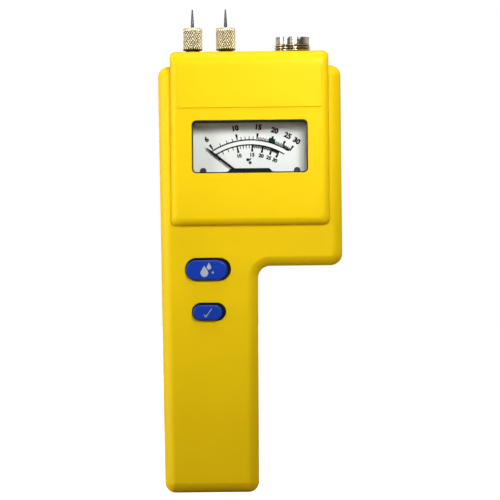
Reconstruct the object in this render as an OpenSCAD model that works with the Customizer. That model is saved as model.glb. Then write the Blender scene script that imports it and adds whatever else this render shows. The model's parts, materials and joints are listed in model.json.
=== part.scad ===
// Pin-type moisture meter. A pistol-shaped moulded case holds a moving-coil panel
// meter, two push buttons, a pair of contact pins and a socket for an outside probe.
// Millimetres. +Z runs up along the pins, the dial faces -Y and +X is to the dial's
// right. The origin is under the middle of the overall box, on the foot of the handle.

/* [Case] */
// Width across the meter head
head_w = 80; // [80:0.5:82]
// Height of the shoulders of the head above the foot
shoulder_z = 186.7; // [186.5:0.1:187.5]
// Width of the handle at its foot
handle_w = 41.1; // [41:0.1:42]
// Wall thickness of the two case shells
wall = 2.4; // [2.2:0.1:2.5]
// Radius that rolls the front face over into the sides
front_fillet = 4.4; // [3.5:0.1:4.4]
// Radius that rolls the rear face over into the sides
rear_fillet = 2.2; // [1.5:0.1:2.2]

/* [Raised block] */
// Width of the raised block that frames the dial
block_w = 69.4; // [69:0.1:70]
// Height of the top of the block above the foot
block_top_z = 193; // [193:0.1:193.5]
// Height of the lower edge of the block above the foot
block_low_z = 117; // [115.5:0.1:117]

/* [Dial window] */
// Width of the window opening
window_w = 50.7; // [50:0.1:51]
// Height of the window opening
window_h = 23.1; // [22.5:0.1:23.4]
// Angle of the pointer at rest, left of straight up
rest_angle = 52; // [45:1:54]

/* [Buttons] */
// Length of the measuring button
measure_l = 18.9; // [18:0.1:19]
// Height of the measuring button
measure_h = 9.3; // [9:0.1:9.4]
// Length of the check button
check_l = 13.8; // [13:0.1:14]
// Height of the check button
check_h = 7.2; // [7:0.1:7.3]
// How far the buttons stand out of the case
button_proud = 2; // [1.5:0.1:2.5]

/* [Contact pins] */
// Distance between the two pins
pin_pitch = 14.6; // [14:0.1:16]
// Length of each pin that shows above its cap
pin_reach = 8.2; // [6:0.1:10]
// Diameter of the knurled retaining caps
cap_d = 8.75; // [8.5:0.05:9]

/* [Probe socket] */
// Outside diameter of the socket thread
thread_d = 15.875; // [15.8:0.025:15.9]
// Diameter of the hole in the centre contact
contact_d = 4; // [3.8:0.1:4.1]

/* [Hidden] */
$fn = 64;

// Depths of the main planes
pad_y = -20;
block_y = -19.45;
base_y = -15.6;
part_y = 9;
back_y = 20;
inner_front_y = base_y + wall;
inner_block_y = block_y + 2.25;
inner_back_y = back_y - wall;

// Plan of the case, as [x, z, corner radius]; a negative radius is an inside corner
head_x = head_w / 2;
head_low_z = 99;
handle_left_x = -38.6;
handle_right_x = handle_left_x + handle_w;
handle_taper = 0.5;
foot_x = (handle_left_x + handle_right_x) / 2;
corner_r = 4.6;
inside_r = 5.3;
left_lean = corner_r * (head_x + handle_left_x) / shoulder_z;
case_corners = [
    [handle_left_x, 0, corner_r],
    [handle_right_x, 0, corner_r],
    [handle_right_x + handle_taper, head_low_z, -inside_r],
    [head_x, head_low_z, inside_r],
    [head_x, shoulder_z, corner_r],
    [-head_x - left_lean, shoulder_z, corner_r]
];

// A point that every edge of the case outline faces
case_hub = [foot_x, 120];

// Raised block: it slopes in by these amounts between the case and its own face
block_x = block_w / 2;
block_corner_r = 2.4;
block_side_slope = 3.3;
block_top_slope = 5.6;
block_low_slope = 3.5;
top_wall = 3.4;
top_inner_z = block_top_z - top_wall;
pocket_x = 31.4;
pocket_low_z = 120.5;

// The rear shell follows both outlines at once
step_r = 0.3;
rear_corners = concat(
    [for (i = [0:4]) case_corners[i]],
    [
        [block_x, shoulder_z, -step_r],
        [block_x, block_top_z, block_corner_r],
        [-block_x, block_top_z, block_corner_r],
        [-block_x, shoulder_z, -step_r],
        case_corners[5]
    ]
);
plan_steps = 8;
fillet_steps = 6;

// Nameplate pad
pad_x = 31.6;
pad_low_z = 168.3;
pad_top_z = 187.2;
pad_edge = 0.45;

// Case screws, as [x, z]
case_screw_spots = [[-34, 180.3], [34, 180.3], [-33.6, 120], [33.6, 105.4], [foot_x, 6.6]];
post_r = 3.2;
case_screw_r = 1.5;
case_screw_head_r = 2.8;
case_screw_seat_y = 14;
thread_gap = 0.02;

// Battery bay and door
battery_w = 26.5;
battery_t = 17.5;
battery_h = 46.4;
battery_low_z = 12.6;
battery_y = -1.9;
battery_top_z = battery_low_z + battery_h;
bay_wall = 1.4;
bay_w = battery_w + 1.1;
bay_front_y = -2.4;
bay_low_z = 12;
bay_top_z = 66;
lead_hole_r = 2.6;
lead_hole_y = 9.5;
door_hinge_y = 18.9;
door_hinge_z = 13.6;
door_barrel_r = back_y - door_hinge_y;
door_gap = 0.15;
door_top_z = 63.8;
door_inner_y = door_hinge_y - door_barrel_r;
hinge_pin_r = 0.5;
hinge_bore_r = 0.55;

// Board and buttons
board_front_y = -4.4;
board_back_y = -2.8;
board_x0 = -34;
board_x1 = -3;
board_z0 = 68.4;
board_z1 = 116.6;
board_screw_spots = [for (x = [-31, -6], z = [71.4, 113.6]) [x, z]];
board_screw_r = 1;
measure_x = -19.1;
measure_z = 97.7;
check_x = -18.9;
check_z = 79.1;
button_gap = 0.3;
button_end_gap = 0.55;
hole_shift = [0.25, 0.12];
button_face_y = base_y - button_proud;
button_lip_y = inner_front_y + 0.05;
button_lip_t = 0.85;
stem_end_y = -10.6;
switch_size = 8;
switch_face_y = -8.6;
plunger_r = 1.68;
plunger_bore_r = 1.75;
plunger_end_y = -7.4;
plunger_bore_y = -6;
trim_x = -10;
trim_z = 106.5;

// Panel meter
window_z = 151.25;
window_corner_r = 2;
meter_x = 30;
meter_z0 = 121.8;
meter_z1 = 166.7;
meter_wall = 1.6;
meter_seam_y = -13;
meter_floor_y = 3.4;
meter_back_y = 5;
lug_x = 34;
lug_spots = [for (x = [-lug_x, lug_x], z = [131, 158]) [x, z]];
lug_r = 2.4;
lug_y = -7;
lug_t = 2;
meter_stud_x = 16;
meter_stud_z = 150;
meter_stud_r = 1.5;
dial_front_y = -9.4;
dial_t = 0.6;
dial_x = 27.6;
dial_z0 = 137.5;
dial_z1 = 164.6;
dial_screw_x = 20.6;
dial_screw_z = 140.8;

// Movement, about its pivot axis along Y
pivot_z = 136;
pointer_y = -10.7;
pointer_t = 0.3;
pointer_l = 24.2;
coil_y0 = -8.6;
coil_y1 = 0.2;
core_r = 4.7;
yoke_r0 = 7.4;
yoke_r1 = 9.6;
yoke_y0 = -7.6;
yoke_y1 = -0.8;
bridge_reach = 8.5;
bridge_leg_r = 1.1;
bridge_t = 0.8;
front_bridge_y = -12.4;
rear_bridge_y = 1.6;
jewel_r = 1.3;
jewel_cup_r = 0.55;
staff_r = 0.45;
movement_screw_r = 0.6;

// Pins and socket in the top wall
terminal_y = -1.5;
left_pin_x = -24.8;
right_pin_x = left_pin_x + pin_pitch;
stud_r = 2.4;
stud_low_z = 183.5;
stud_top_z = 201.4;
insulator_r = 3.1;
insulator_lip_r = 3.35;
insulator_lip_t = 0.75;
cap_low_z = 193.95;
cap_top_z = 204.1;
cap_bore_r = 2.48;
cap_roof = 1.65;
cap_chamfer = 0.7;
pin_r = 0.75;
pin_shoulder_r = 2.2;
socket_x = 19.2;
socket_rim_z = 199.6;
thread_low_z = 193.3;
thread_top_z = 196.3;
neck_r = 7;
rim_r = 7.4;
socket_bore_r = 6.1;
contact_r = 2.55;
notch_count = 12;
lead_r = 0.65;

// ---------------------------------------------------------------- outline helpers

// Outward unit normal of the edge from a to b of a counter-clockwise loop
function edge_normal(a, b) = let (d = b - a) [d[1], -d[0]] / norm(d);

// Vector v turned by angle a
function turned(v, a) = [v[0] * cos(a) - v[1] * sin(a), v[0] * sin(a) + v[1] * cos(a)];

// Points round a rounded corner of a loop that is moved inwards by inset
function corner_points(before, here, after, inset, steps) =
    let (
        spot = [here[0], here[1]],
        m = edge_normal([before[0], before[1]], spot),
        n = edge_normal(spot, [after[0], after[1]]),
        centre = spot - here[2] * (m + n) / (1 + m * n),
        sweep = atan2(m[0] * n[1] - m[1] * n[0], m * n)
    )
    [for (k = [0:steps]) centre + (here[2] - inset) * turned(m, sweep * k / steps)];

// Loop round corners of [x, z, radius], moved inwards by inset
function rounded_loop(corners, inset = 0, steps = plan_steps) =
    let (n = len(corners))
    [
        for (i = [0:n - 1])
            each corner_points(corners[(i + n - 1) % n], corners[i], corners[(i + 1) % n], inset, steps)
    ];

// Corners of an upright rectangle
function box_corners(x0, x1, z0, z1, r) = [[x0, z0, r], [x1, z0, r], [x1, z1, r], [x0, z1, r]];

// Ring in space: a plan loop set at depth y
function at_depth(loop, y) = [for (p = loop) [p[0], y, p[1]]];

// Rings that roll a face at depth y over a radius; away is 1 where the solid lies behind the face
function rolled_rings(corners, inset, y, radius, away, steps = fillet_steps) = [
    for (k = [0:steps])
        let (a = 90 * k / steps)
        at_depth(rounded_loop(corners, inset + radius * (1 - sin(a))), y + away * radius * (1 - cos(a)))
];

function backwards(list) = [for (i = [len(list) - 1:-1:0]) list[i]];

function mean_point(ring) = [for (i = [0:2]) [for (p = ring) p[i]] * [for (p = ring) 1] / len(ring)];

// Closed solid of triangles through rings of equal length, given from front to back.
// Its ends are fans round hub, an [x, z] that sees the whole outline, or round their own middles.
module loft(rings, hub) {
    n = len(rings[0]);
    tail = len(rings) - 1;
    front_hub = is_undef(hub) ? mean_point(rings[0]) : [hub[0], rings[0][0][1], hub[1]];
    back_hub = is_undef(hub) ? mean_point(rings[tail]) : [hub[0], rings[tail][0][1], hub[1]];
    points = concat([for (ring = rings) each ring], [front_hub, back_hub]);
    sides = [
        for (i = [0:tail - 1], j = [0:n - 1])
            let (here = i * n + j, next = i * n + (j + 1) % n)
            each [[here, next, next + n], [here, next + n, here + n]]
    ];
    front = [for (j = [0:n - 1]) [len(points) - 2, (j + 1) % n, j]];
    back = [for (j = [0:n - 1]) [len(points) - 1, tail * n + j, tail * n + (j + 1) % n]];
    polyhedron(points, concat(front, sides, back));
}

// Cylinder along Y at [x, z], from depth y0 to depth y1
module rod_y(spot, r, y0, y1) {
    translate([spot[0], y0, spot[1]])
        rotate([-90, 0, 0])
            cylinder(r = r, h = y1 - y0);
}

// Box between two corners
module block(low, high) {
    translate(low)
        cube(high - low);
}

// Slot-shaped plate: length l and height h, centred on [x, z], from depth y0 to depth y1
module stadium(spot, l, h, y0, y1) {
    reach = (l - h) / 2;
    rod_y(spot - [reach, 0], h / 2, y0, y1);
    rod_y(spot + [reach, 0], h / 2, y0, y1);
    block([spot[0] - reach, y0, spot[1] - h / 2], [spot[0] + reach, y1, spot[1] + h / 2]);
}

// Plate with rounded corners from depth y0 to depth y1
module rounded_plate(x0, x1, z0, z1, r, y0, y1) {
    block([x0 + r, y0, z0], [x1 - r, y1, z1]);
    block([x0, y0, z0 + r], [x1, y1, z1 - r]);
    for (x = [x0 + r, x1 - r], z = [z0 + r, z1 - r])
        rod_y([x, z], r, y0, y1);
}

// Hexagonal nut along Y
module hex_nut_y(spot, r, y0, y1) {
    translate([spot[0], y0, spot[1]])
        rotate([-90, 0, 0])
            cylinder(r = r, h = y1 - y0, $fn = 6);
}

// Pan-head screw along Y: the head lies behind its seat and the shank runs forward from it
module screw_y(spot, seat_y, r, l, head_r, head_t, drive) {
    difference() {
        union() {
            rod_y(spot, r, seat_y - l, seat_y);
            rod_y(spot, head_r, seat_y, seat_y + head_t);
        }
        for (a = [0, 90])
            translate([spot[0], seat_y + head_t, spot[1]])
                rotate([0, a, 0])
                    cube([head_r * 1.2, drive, head_r * 0.25], center = true);
    }
}

// ---------------------------------------------------------------- lead helpers

// Point on a smooth curve between b and c, with a and d as its neighbours
function between(a, b, c, d, t) =
    0.5 * (2 * b + (c - a) * t + (2 * a - 5 * b + 4 * c - d) * t * t + (3 * b - a - 3 * c + d) * t * t * t);

// Smooth route through hand-placed points
function route(points, steps = 4) =
    let (last = len(points) - 1)
    concat(
        [
            for (i = [0:last - 1], k = [0:steps - 1])
                between(points[max(i - 1, 0)], points[i], points[i + 1], points[min(i + 2, last)], k / steps)
        ],
        [points[last]]
    );

function unit(v) = v / norm(v);

// Ring of a tube round point p, square to direction d, which never runs along X
function tube_ring(p, d, r, sides = 8) =
    let (
        u = unit(cross(d, [1, 0, 0])),
        v = cross(d, u)
    )
    [for (k = [0:sides - 1]) p + r * (cos(360 * k / sides) * u + sin(360 * k / sides) * v)];

// Insulated lead along a route; the first and last stretch are straight
module lead(points, r = lead_r) {
    path = route(points);
    last = len(path) - 1;
    rings = [
        for (i = [0:last])
            let (
                d = i == 0 ? points[1] - points[0]
                  : i == last ? points[len(points) - 1] - points[len(points) - 2]
                  : path[i + 1] - path[i - 1]
            )
            tube_ring(path[i], unit(d), r)
    ];
    loft(backwards(rings));
}

// ---------------------------------------------------------------- case

function block_ring(a) =
    let (t = 1 - sin(a))
    at_depth(
        rounded_loop(box_corners(
            -block_x + block_side_slope * t,
            block_x - block_side_slope * t,
            block_low_z + block_low_slope * t,
            block_top_z - block_top_slope * t,
            block_corner_r
        )),
        block_y + (base_y - block_y) * (1 - cos(a))
    );

module raised_block() {
    loft(concat(
        [for (k = [0:fillet_steps]) block_ring(90 * k / fillet_steps)],
        [at_depth(rounded_loop(box_corners(-block_x, block_x, block_low_z, block_top_z, block_corner_r)), part_y)]
    ));
}

module nameplate_pad() {
    corners = box_corners(-pad_x, pad_x, pad_low_z, pad_top_z, pad_edge + 0.2);
    loft(concat(
        rolled_rings(corners, 0, pad_y, pad_edge, 1, 3),
        [at_depth(rounded_loop(corners), block_y + 0.5)]
    ));
}

module front_skin() {
    loft(concat(
        rolled_rings(case_corners, 0, base_y, front_fillet, 1),
        [at_depth(rounded_loop(case_corners), part_y)]
    ), case_hub);
}

module front_hollow() {
    loft(concat(
        rolled_rings(case_corners, wall, inner_front_y, 2, 1, 3),
        [at_depth(rounded_loop(case_corners, wall), part_y + 1)]
    ), case_hub);
    block([-pocket_x, inner_block_y, pocket_low_z], [pocket_x, part_y + 1, top_inner_z]);
}

// Hole for a key; the keys hang a little low and left in their holes
module button_hole(spot, l, h) {
    stadium(spot + hole_shift, l + 2 * button_end_gap, h + 2 * button_gap, base_y - 1, inner_front_y + 0.5);
}

module front_case() color("gold") {
    difference() {
        union() {
            difference() {
                union() {
                    front_skin();
                    raised_block();
                    nameplate_pad();
                }
                front_hollow();
            }
            for (spot = case_screw_spots)
                rod_y(spot, post_r, inner_front_y - 0.4, part_y);
            for (spot = board_screw_spots)
                rod_y(spot, 2.5, inner_front_y - 0.4, board_front_y);
            for (spot = lug_spots)
                rod_y(spot, lug_r, inner_front_y - 0.4, lug_y);
        }
        rounded_plate(
            -window_w / 2, window_w / 2, window_z - window_h / 2, window_z + window_h / 2,
            window_corner_r, pad_y - 1, inner_block_y + 0.5
        );
        button_hole([measure_x, measure_z], measure_l, measure_h);
        button_hole([check_x, check_z], check_l, check_h);
        for (x = [left_pin_x, right_pin_x])
            translate([x, terminal_y, top_inner_z - 0.5])
                cylinder(r = insulator_r + 0.05, h = top_wall + 1);
        translate([socket_x, terminal_y, top_inner_z - 0.5])
            cylinder(r = neck_r + 0.15, h = top_wall + 1);
        for (spot = case_screw_spots)
            rod_y(spot, case_screw_r + thread_gap, -4, part_y + 0.5);
        for (spot = board_screw_spots)
            rod_y(spot, board_screw_r + thread_gap, -11, board_front_y + 0.5);
        for (spot = lug_spots)
            rod_y(spot, board_screw_r + thread_gap, -12, lug_y + 0.5);
        for (s = [-1, 1])
            translate([socket_x + s * 6.6, terminal_y + s * 6.6, top_inner_z - 0.5])
                cylinder(r = 0.82, h = 3);
    }
}

module rear_skin() {
    loft(concat(
        [at_depth(rounded_loop(rear_corners), part_y)],
        backwards(rolled_rings(rear_corners, 0, back_y, rear_fillet, -1))
    ), case_hub);
}

module rear_hollow() {
    loft([
        at_depth(rounded_loop(case_corners, wall), part_y - 1),
        at_depth(rounded_loop(case_corners, wall), inner_back_y)
    ], case_hub);
    block([-pocket_x, part_y - 1, pocket_low_z], [pocket_x, inner_back_y, top_inner_z]);
}

module rear_case() color("gold") {
    bay_x0 = foot_x - bay_w / 2;
    bay_x1 = foot_x + bay_w / 2;
    difference() {
        union() {
            difference() {
                rear_skin();
                rear_hollow();
            }
            block(
                [bay_x0 - bay_wall, bay_front_y - bay_wall, bay_low_z - bay_wall],
                [bay_x1 + bay_wall, inner_back_y + 0.4, bay_top_z + bay_wall]
            );
            for (spot = case_screw_spots)
                rod_y(spot, post_r + 0.6, part_y, inner_back_y + 0.4);
        }
        block([bay_x0, bay_front_y, bay_low_z], [bay_x1, inner_back_y, bay_top_z]);
        block(
            [bay_x0, inner_back_y - 1, door_hinge_z - door_barrel_r - door_gap],
            [bay_x1, back_y + 1, door_top_z + door_gap]
        );
        translate([foot_x, lead_hole_y, bay_top_z - 1])
            cylinder(r = lead_hole_r, h = bay_wall + 2);
        translate([bay_x0 - bay_wall, door_hinge_y, door_hinge_z])
            rotate([0, 90, 0])
                cylinder(r = hinge_pin_r, h = bay_w + 2 * bay_wall);
        for (spot = case_screw_spots) {
            rod_y(spot, case_screw_r + 0.2, part_y - 1, back_y + 1);
            rod_y(spot, case_screw_head_r + 0.2, case_screw_seat_y, back_y + 1);
        }
    }
}

module case_screws() color("dimgray") {
    for (spot = case_screw_spots)
        screw_y(spot, case_screw_seat_y, case_screw_r, 16, case_screw_head_r, 1.8, 1.6);
}

// ---------------------------------------------------------------- battery

module battery_door() color("gold") {
    x0 = foot_x - bay_w / 2 + door_gap;
    x1 = foot_x + bay_w / 2 - door_gap;
    difference() {
        union() {
            block([x0, door_inner_y, door_hinge_z], [x1, back_y, door_top_z]);
            translate([x0, door_hinge_y, door_hinge_z])
                rotate([0, 90, 0])
                    cylinder(r = door_barrel_r, h = x1 - x0);
        }
        translate([x0 - 1, door_hinge_y, door_hinge_z])
            rotate([0, 90, 0])
                cylinder(r = hinge_bore_r, h = x1 - x0 + 2);
        for (i = [0:3])
            translate([foot_x - 7, back_y, door_top_z - 5 - 1.6 * i])
                rotate([45, 0, 0])
                    cube([14, 0.8, 0.8]);
    }
}

module door_hinge_pin() color("silver") {
    l = bay_w + 2 * bay_wall - 0.2;
    translate([foot_x - l / 2, door_hinge_y, door_hinge_z])
        rotate([0, 90, 0])
            cylinder(r = hinge_pin_r, h = l);
}

module door_pad() color("dimgray") {
    block([foot_x - 11, battery_y + battery_t + 0.2, 22], [foot_x + 11, door_inner_y, 54]);
}

module battery() color("black") {
    corners = box_corners(
        foot_x - battery_w / 2, foot_x + battery_w / 2, battery_y, battery_y + battery_t, 1.6
    );
    translate([0, 0, battery_low_z])
        linear_extrude(battery_h)
            polygon(rounded_loop(corners, 0, 4));
}

battery_mid_y = battery_y + battery_t / 2;
terminal_reach = 6.35;
snap_low_z = battery_top_z + 0.4;
snap_top_z = battery_top_z + 5;

module battery_terminals() color("silver") {
    translate([foot_x - terminal_reach, battery_mid_y, battery_top_z])
        cylinder(r = 2.9, h = 2.4);
    translate([foot_x + terminal_reach, battery_mid_y, battery_top_z])
        cylinder(r = 3.9, h = 2.4, $fn = 6);
}

module battery_snap() color("black") {
    difference() {
        block(
            [foot_x - 12.6, battery_mid_y - 6.4, snap_low_z],
            [foot_x + 12.6, battery_mid_y + 6.4, snap_top_z]
        );
        for (s = [-1, 1])
            translate([foot_x + s * terminal_reach, battery_mid_y, snap_low_z - 1])
                cylinder(r = 4.1, h = 3.3);
    }
}

module battery_lead_red() color("red") {
    lead([
        [foot_x - 1.2, lead_hole_y, snap_top_z], [foot_x - 1.2, lead_hole_y, 67], [foot_x - 2, 8.5, 71],
        [foot_x - 5, 5, 76], [foot_x - 7, 1.5, 78], [foot_x - 7, board_back_y, 78]
    ]);
}

module battery_lead_black() color("black") {
    lead([
        [foot_x + 1.2, lead_hole_y, snap_top_z], [foot_x + 1.2, lead_hole_y, 67], [foot_x + 2, 8.5, 72],
        [foot_x + 4, 5, 77], [foot_x + 6, 1.5, 80], [foot_x + 6, board_back_y, 80]
    ]);
}

// ---------------------------------------------------------------- board

module main_board() color("darkgreen") {
    difference() {
        block([board_x0, board_front_y, board_z0], [board_x1, board_back_y, board_z1]);
        for (spot = board_screw_spots)
            rod_y(spot, board_screw_r + 0.2, board_front_y - 1, board_back_y + 1);
    }
}

module board_screws() color("silver") {
    for (spot = board_screw_spots)
        screw_y(spot, board_back_y, board_screw_r, 7, 1.9, 1.2, 1);
}

module board_chip() color("black") {
    x0 = -30;
    z0 = 90;
    block([x0, -1.8, z0], [x0 + 6.4, 1.4, z0 + 19]);
    for (x = [x0 - 0.5, x0 + 6.4], i = [0:6])
        block([x, board_back_y, z0 + 1.6 + 2.54 * i], [x + 0.5, 0, z0 + 2.2 + 2.54 * i]);
}

module board_resistors() color("tan") {
    for (i = [0:4])
        translate([-20.5, board_back_y, 89 + 3.4 * i]) {
            translate([0, 1.35, 0])
                rotate([0, 90, 0])
                    cylinder(r = 1.15, h = 6.2);
            for (x = [-1.2, 6.8])
                block([x, 0, -0.3], [x + 0.6, 1.65, 0.3]);
            for (x = [-0.6, 6.2])
                block([x, 1.05, -0.3], [x + 0.6, 1.65, 0.3]);
        }
}

module board_capacitors() color("navy") {
    for (x = [-26, -11])
        rod_y([x, 85], 2.6, board_back_y, 3.6);
}

module trim_pot() color("royalblue") {
    difference() {
        block([trim_x - 3.3, board_back_y, trim_z - 3.3], [trim_x + 3.3, 1.8, trim_z + 3.3]);
        rod_y([trim_x, trim_z], 1.9, 0.2, 2);
    }
}

module trim_rotor() color("white") {
    difference() {
        rod_y([trim_x, trim_z], 1.82, 0.25, 2.1);
        block([trim_x - 1.4, 1.4, trim_z - 0.3], [trim_x + 1.4, 2.2, trim_z + 0.3]);
    }
}

// Push switch on the front of the board
module switch_at(spot) {
    half = switch_size / 2;
    difference() {
        block([spot[0] - half, switch_face_y, spot[1] - half], [spot[0] + half, board_front_y, spot[1] + half]);
        rod_y(spot, plunger_bore_r, switch_face_y - 1, plunger_bore_y);
    }
}

module measure_switch() color("dimgray") {
    switch_at([measure_x, measure_z]);
}

module check_switch() color("dimgray") {
    switch_at([check_x, check_z]);
}

module measure_plunger() color("white") {
    rod_y([measure_x, measure_z], plunger_r, stem_end_y, plunger_end_y);
}

module check_plunger() color("white") {
    rod_y([check_x, check_z], plunger_r, stem_end_y, plunger_end_y);
}

// Rings that narrow a slot-shaped key over its rounded edge
module key_top(spot, l, h) {
    edge = 0.9;
    corners = box_corners(spot[0] - l / 2, spot[0] + l / 2, spot[1] - h / 2, spot[1] + h / 2, h / 2 - 0.01);
    loft(concat(
        rolled_rings(corners, 0, button_face_y, edge, 1, 3),
        [at_depth(rounded_loop(corners), button_lip_y)]
    ));
}

// Push button: key, retaining lip behind the case wall and stem down to the switch
module button_at(spot, l, h) {
    key_top(spot, l, h);
    stadium(spot, l + 3.1, h + 2.6, button_lip_y, button_lip_y + button_lip_t);
    rod_y(spot, 2, button_lip_y + button_lip_t, stem_end_y);
}

module measure_button() color("blue") {
    button_at([measure_x, measure_z], measure_l, measure_h);
}

module check_button() color("blue") {
    button_at([check_x, check_z], check_l, check_h);
}

// ---------------------------------------------------------------- panel meter

module meter_window() color("lightcyan", 0.4) {
    flange_y = inner_block_y;
    skin = 1.4;
    fit = 0.25;
    x1 = window_w / 2 - fit;
    z0 = window_z - window_h / 2 + fit;
    z1 = window_z + window_h / 2 - fit;
    rim = 1.2;
    difference() {
        union() {
            rounded_plate(-x1, x1, z0, z1, window_corner_r - 0.1, flange_y - 1.65, flange_y + 0.2);
            block([-meter_x + 0.2, flange_y, meter_z0 + 0.2], [meter_x - 0.2, meter_seam_y, meter_z1 - 0.2]);
        }
        rounded_plate(-x1 + rim, x1 - rim, z0 + rim, z1 - rim, 1, flange_y - 0.65, flange_y + skin + 0.1);
        block(
            [-meter_x + meter_wall, flange_y + skin, meter_z0 + meter_wall],
            [meter_x - meter_wall, meter_seam_y + 1, meter_z1 - meter_wall]
        );
    }
}

module meter_base() color("black") {
    pillar_z = [pivot_z - bridge_reach, pivot_z + bridge_reach];
    difference() {
        union() {
            difference() {
                block([-meter_x, meter_seam_y, meter_z0], [meter_x, meter_back_y, meter_z1]);
                block(
                    [-meter_x + meter_wall, meter_seam_y - 1, meter_z0 + meter_wall],
                    [meter_x - meter_wall, meter_floor_y, meter_z1 - meter_wall]
                );
            }
            for (s = [-1, 1], z = [131, 158]) {
                rod_y([s * lug_x, z], lug_r, lug_y, lug_y + lug_t);
                block(
                    [min(s * lug_x, s * (meter_x - 0.5)), lug_y, z - lug_r],
                    [max(s * lug_x, s * (meter_x - 0.5)), lug_y + lug_t, z + lug_r]
                );
            }
            for (x = [-dial_screw_x, dial_screw_x])
                rod_y([x, dial_screw_z], 2, dial_front_y + dial_t, meter_floor_y + 0.5);
            for (z = pillar_z)
                rod_y([0, z], 1.5, yoke_y1, meter_floor_y + 0.5);
        }
        for (spot = lug_spots)
            rod_y(spot, board_screw_r + 0.15, lug_y - 1, lug_y + lug_t + 1);
        for (x = [-dial_screw_x, dial_screw_x])
            rod_y([x, dial_screw_z], 0.82, dial_front_y, -2);
        for (z = pillar_z)
            rod_y([0, z], movement_screw_r + thread_gap, yoke_y1 - 1, 2.2);
        for (x = [-meter_stud_x, meter_stud_x])
            rod_y([x, meter_stud_z], meter_stud_r + thread_gap, meter_floor_y - 1, meter_back_y + 1);
    }
}

module meter_screws() color("silver") {
    for (spot = lug_spots)
        screw_y(spot, lug_y + lug_t, board_screw_r, 6.6, 1.9, 1.2, 1);
}

module meter_studs() color("goldenrod") {
    for (x = [-meter_stud_x, meter_stud_x]) {
        rod_y([x, meter_stud_z], 2.6, meter_floor_y - 1, meter_floor_y);
        rod_y([x, meter_stud_z], meter_stud_r, meter_floor_y, 9.5);
    }
}

module meter_nuts() color("goldenrod") {
    for (x = [-meter_stud_x, meter_stud_x])
        difference() {
            hex_nut_y([x, meter_stud_z], 2.9, meter_back_y, meter_back_y + 1.7);
            rod_y([x, meter_stud_z], meter_stud_r + thread_gap, meter_back_y - 1, meter_back_y + 3);
        }
}

module dial_plate() color("white") {
    notch_x = 10.4;
    notch_top_z = 140.6;
    difference() {
        block([-dial_x, dial_front_y, dial_z0], [dial_x, dial_front_y + dial_t, dial_z1]);
        block([-notch_x, dial_front_y - 1, dial_z0 - 1], [notch_x, dial_front_y + dial_t + 1, notch_top_z]);
        for (x = [-dial_screw_x, dial_screw_x])
            rod_y([x, dial_screw_z], 0.85, dial_front_y - 1, dial_front_y + dial_t + 1);
    }
}

module dial_screws() color("dimgray") {
    for (x = [-dial_screw_x, dial_screw_x])
        difference() {
            union() {
                rod_y([x, dial_screw_z], 1.45, dial_front_y - 0.7, dial_front_y);
                rod_y([x, dial_screw_z], 0.8, dial_front_y, -3);
            }
            block([x - 2, dial_front_y - 1, dial_screw_z - 0.2], [x + 2, dial_front_y - 0.35, dial_screw_z + 0.2]);
        }
}

module pointer_mask() color("black") {
    half_top = 8.3;
    half_low = 9.6;
    translate([0, front_bridge_y, 0])
        rotate([90, 0, 0])
            linear_extrude(0.6)
                polygon([
                    [-half_low, 130.5], [half_low, 130.5], [half_low, 140.7], [half_top, 141.9],
                    [-half_top, 141.9], [-half_low, 140.7]
                ]);
}

// Places a piece drawn with the pointer straight up at the pointer's rest angle
module on_pivot(angle = -rest_angle) {
    translate([0, 0, pivot_z])
        rotate([0, angle, 0])
            children();
}

module pointer() color("black") {
    tail = 6.2;
    on_pivot()
        translate([0, pointer_y + pointer_t, 0])
            rotate([90, 0, 0])
                linear_extrude(pointer_t)
                    difference() {
                        union() {
                            polygon([
                                [-0.5, -tail], [0.5, -tail], [0.42, 0], [0.2, pointer_l - 0.4], [0, pointer_l],
                                [-0.2, pointer_l - 0.4], [-0.42, 0]
                            ]);
                            translate([-1.3, -tail])
                                square([2.6, 1.6]);
                            circle(r = 1.4);
                        }
                        circle(r = staff_r);
                    }
}

module pointer_staff() color("silver") {
    tip = 0.35;
    on_pivot() {
        rod_y([0, 0], staff_r, -11.5, coil_y0);
        translate([0, -11.5, 0])
            rotate([90, 0, 0])
                cylinder(r1 = staff_r, r2 = 0.08, h = tip);
        rod_y([0, 0], staff_r, coil_y1, 1.5);
        translate([0, 1.5, 0])
            rotate([-90, 0, 0])
                cylinder(r1 = staff_r, r2 = 0.08, h = tip);
    }
}

module moving_coil() color("peru") {
    half = 6.9;
    inner = 5.5;
    bar = 0.8;
    on_pivot()
        difference() {
            block([-half, coil_y0, -1], [half, coil_y1, 1]);
            block([-inner, coil_y0 + bar, -2], [inner, coil_y1 - bar, 2]);
        }
}

module core_magnet() color("gray") {
    key_x = 1.3;
    difference() {
        union() {
            rod_y([0, pivot_z], core_r, -7.2, -1.2);
            intersection() {
                block([-key_x, -5, pivot_z - yoke_r0], [key_x, -3, pivot_z + yoke_r0]);
                rod_y([0, pivot_z], yoke_r0, -5, -3);
            }
        }
        rod_y([0, pivot_z], 1, -8, 0);
    }
}

module yoke_ring() color("silver") {
    difference() {
        rod_y([0, pivot_z], yoke_r1, yoke_y0, yoke_y1);
        rod_y([0, pivot_z], yoke_r0, yoke_y0 - 1, yoke_y1 + 1);
        for (s = [-1, 1])
            rod_y([0, pivot_z + s * bridge_reach], movement_screw_r + thread_gap, yoke_y0 - 1, yoke_y1 + 1);
    }
}

// Strap across the movement with a leg at each end and a threaded hole for its jewel screw
module bridge(strap_y, leg_y0, leg_y1) {
    difference() {
        union() {
            block([-bridge_reach, strap_y, pivot_z - 1.9], [bridge_reach, strap_y + bridge_t, pivot_z + 1.9]);
            for (s = [-1, 1])
                rod_y([s * bridge_reach, pivot_z], bridge_leg_r, leg_y0, leg_y1);
        }
        rod_y([0, pivot_z], jewel_r, strap_y - 1, strap_y + bridge_t + 1);
    }
}

module front_bridge() color("gainsboro") {
    bridge(front_bridge_y, front_bridge_y, yoke_y0);
}

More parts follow.
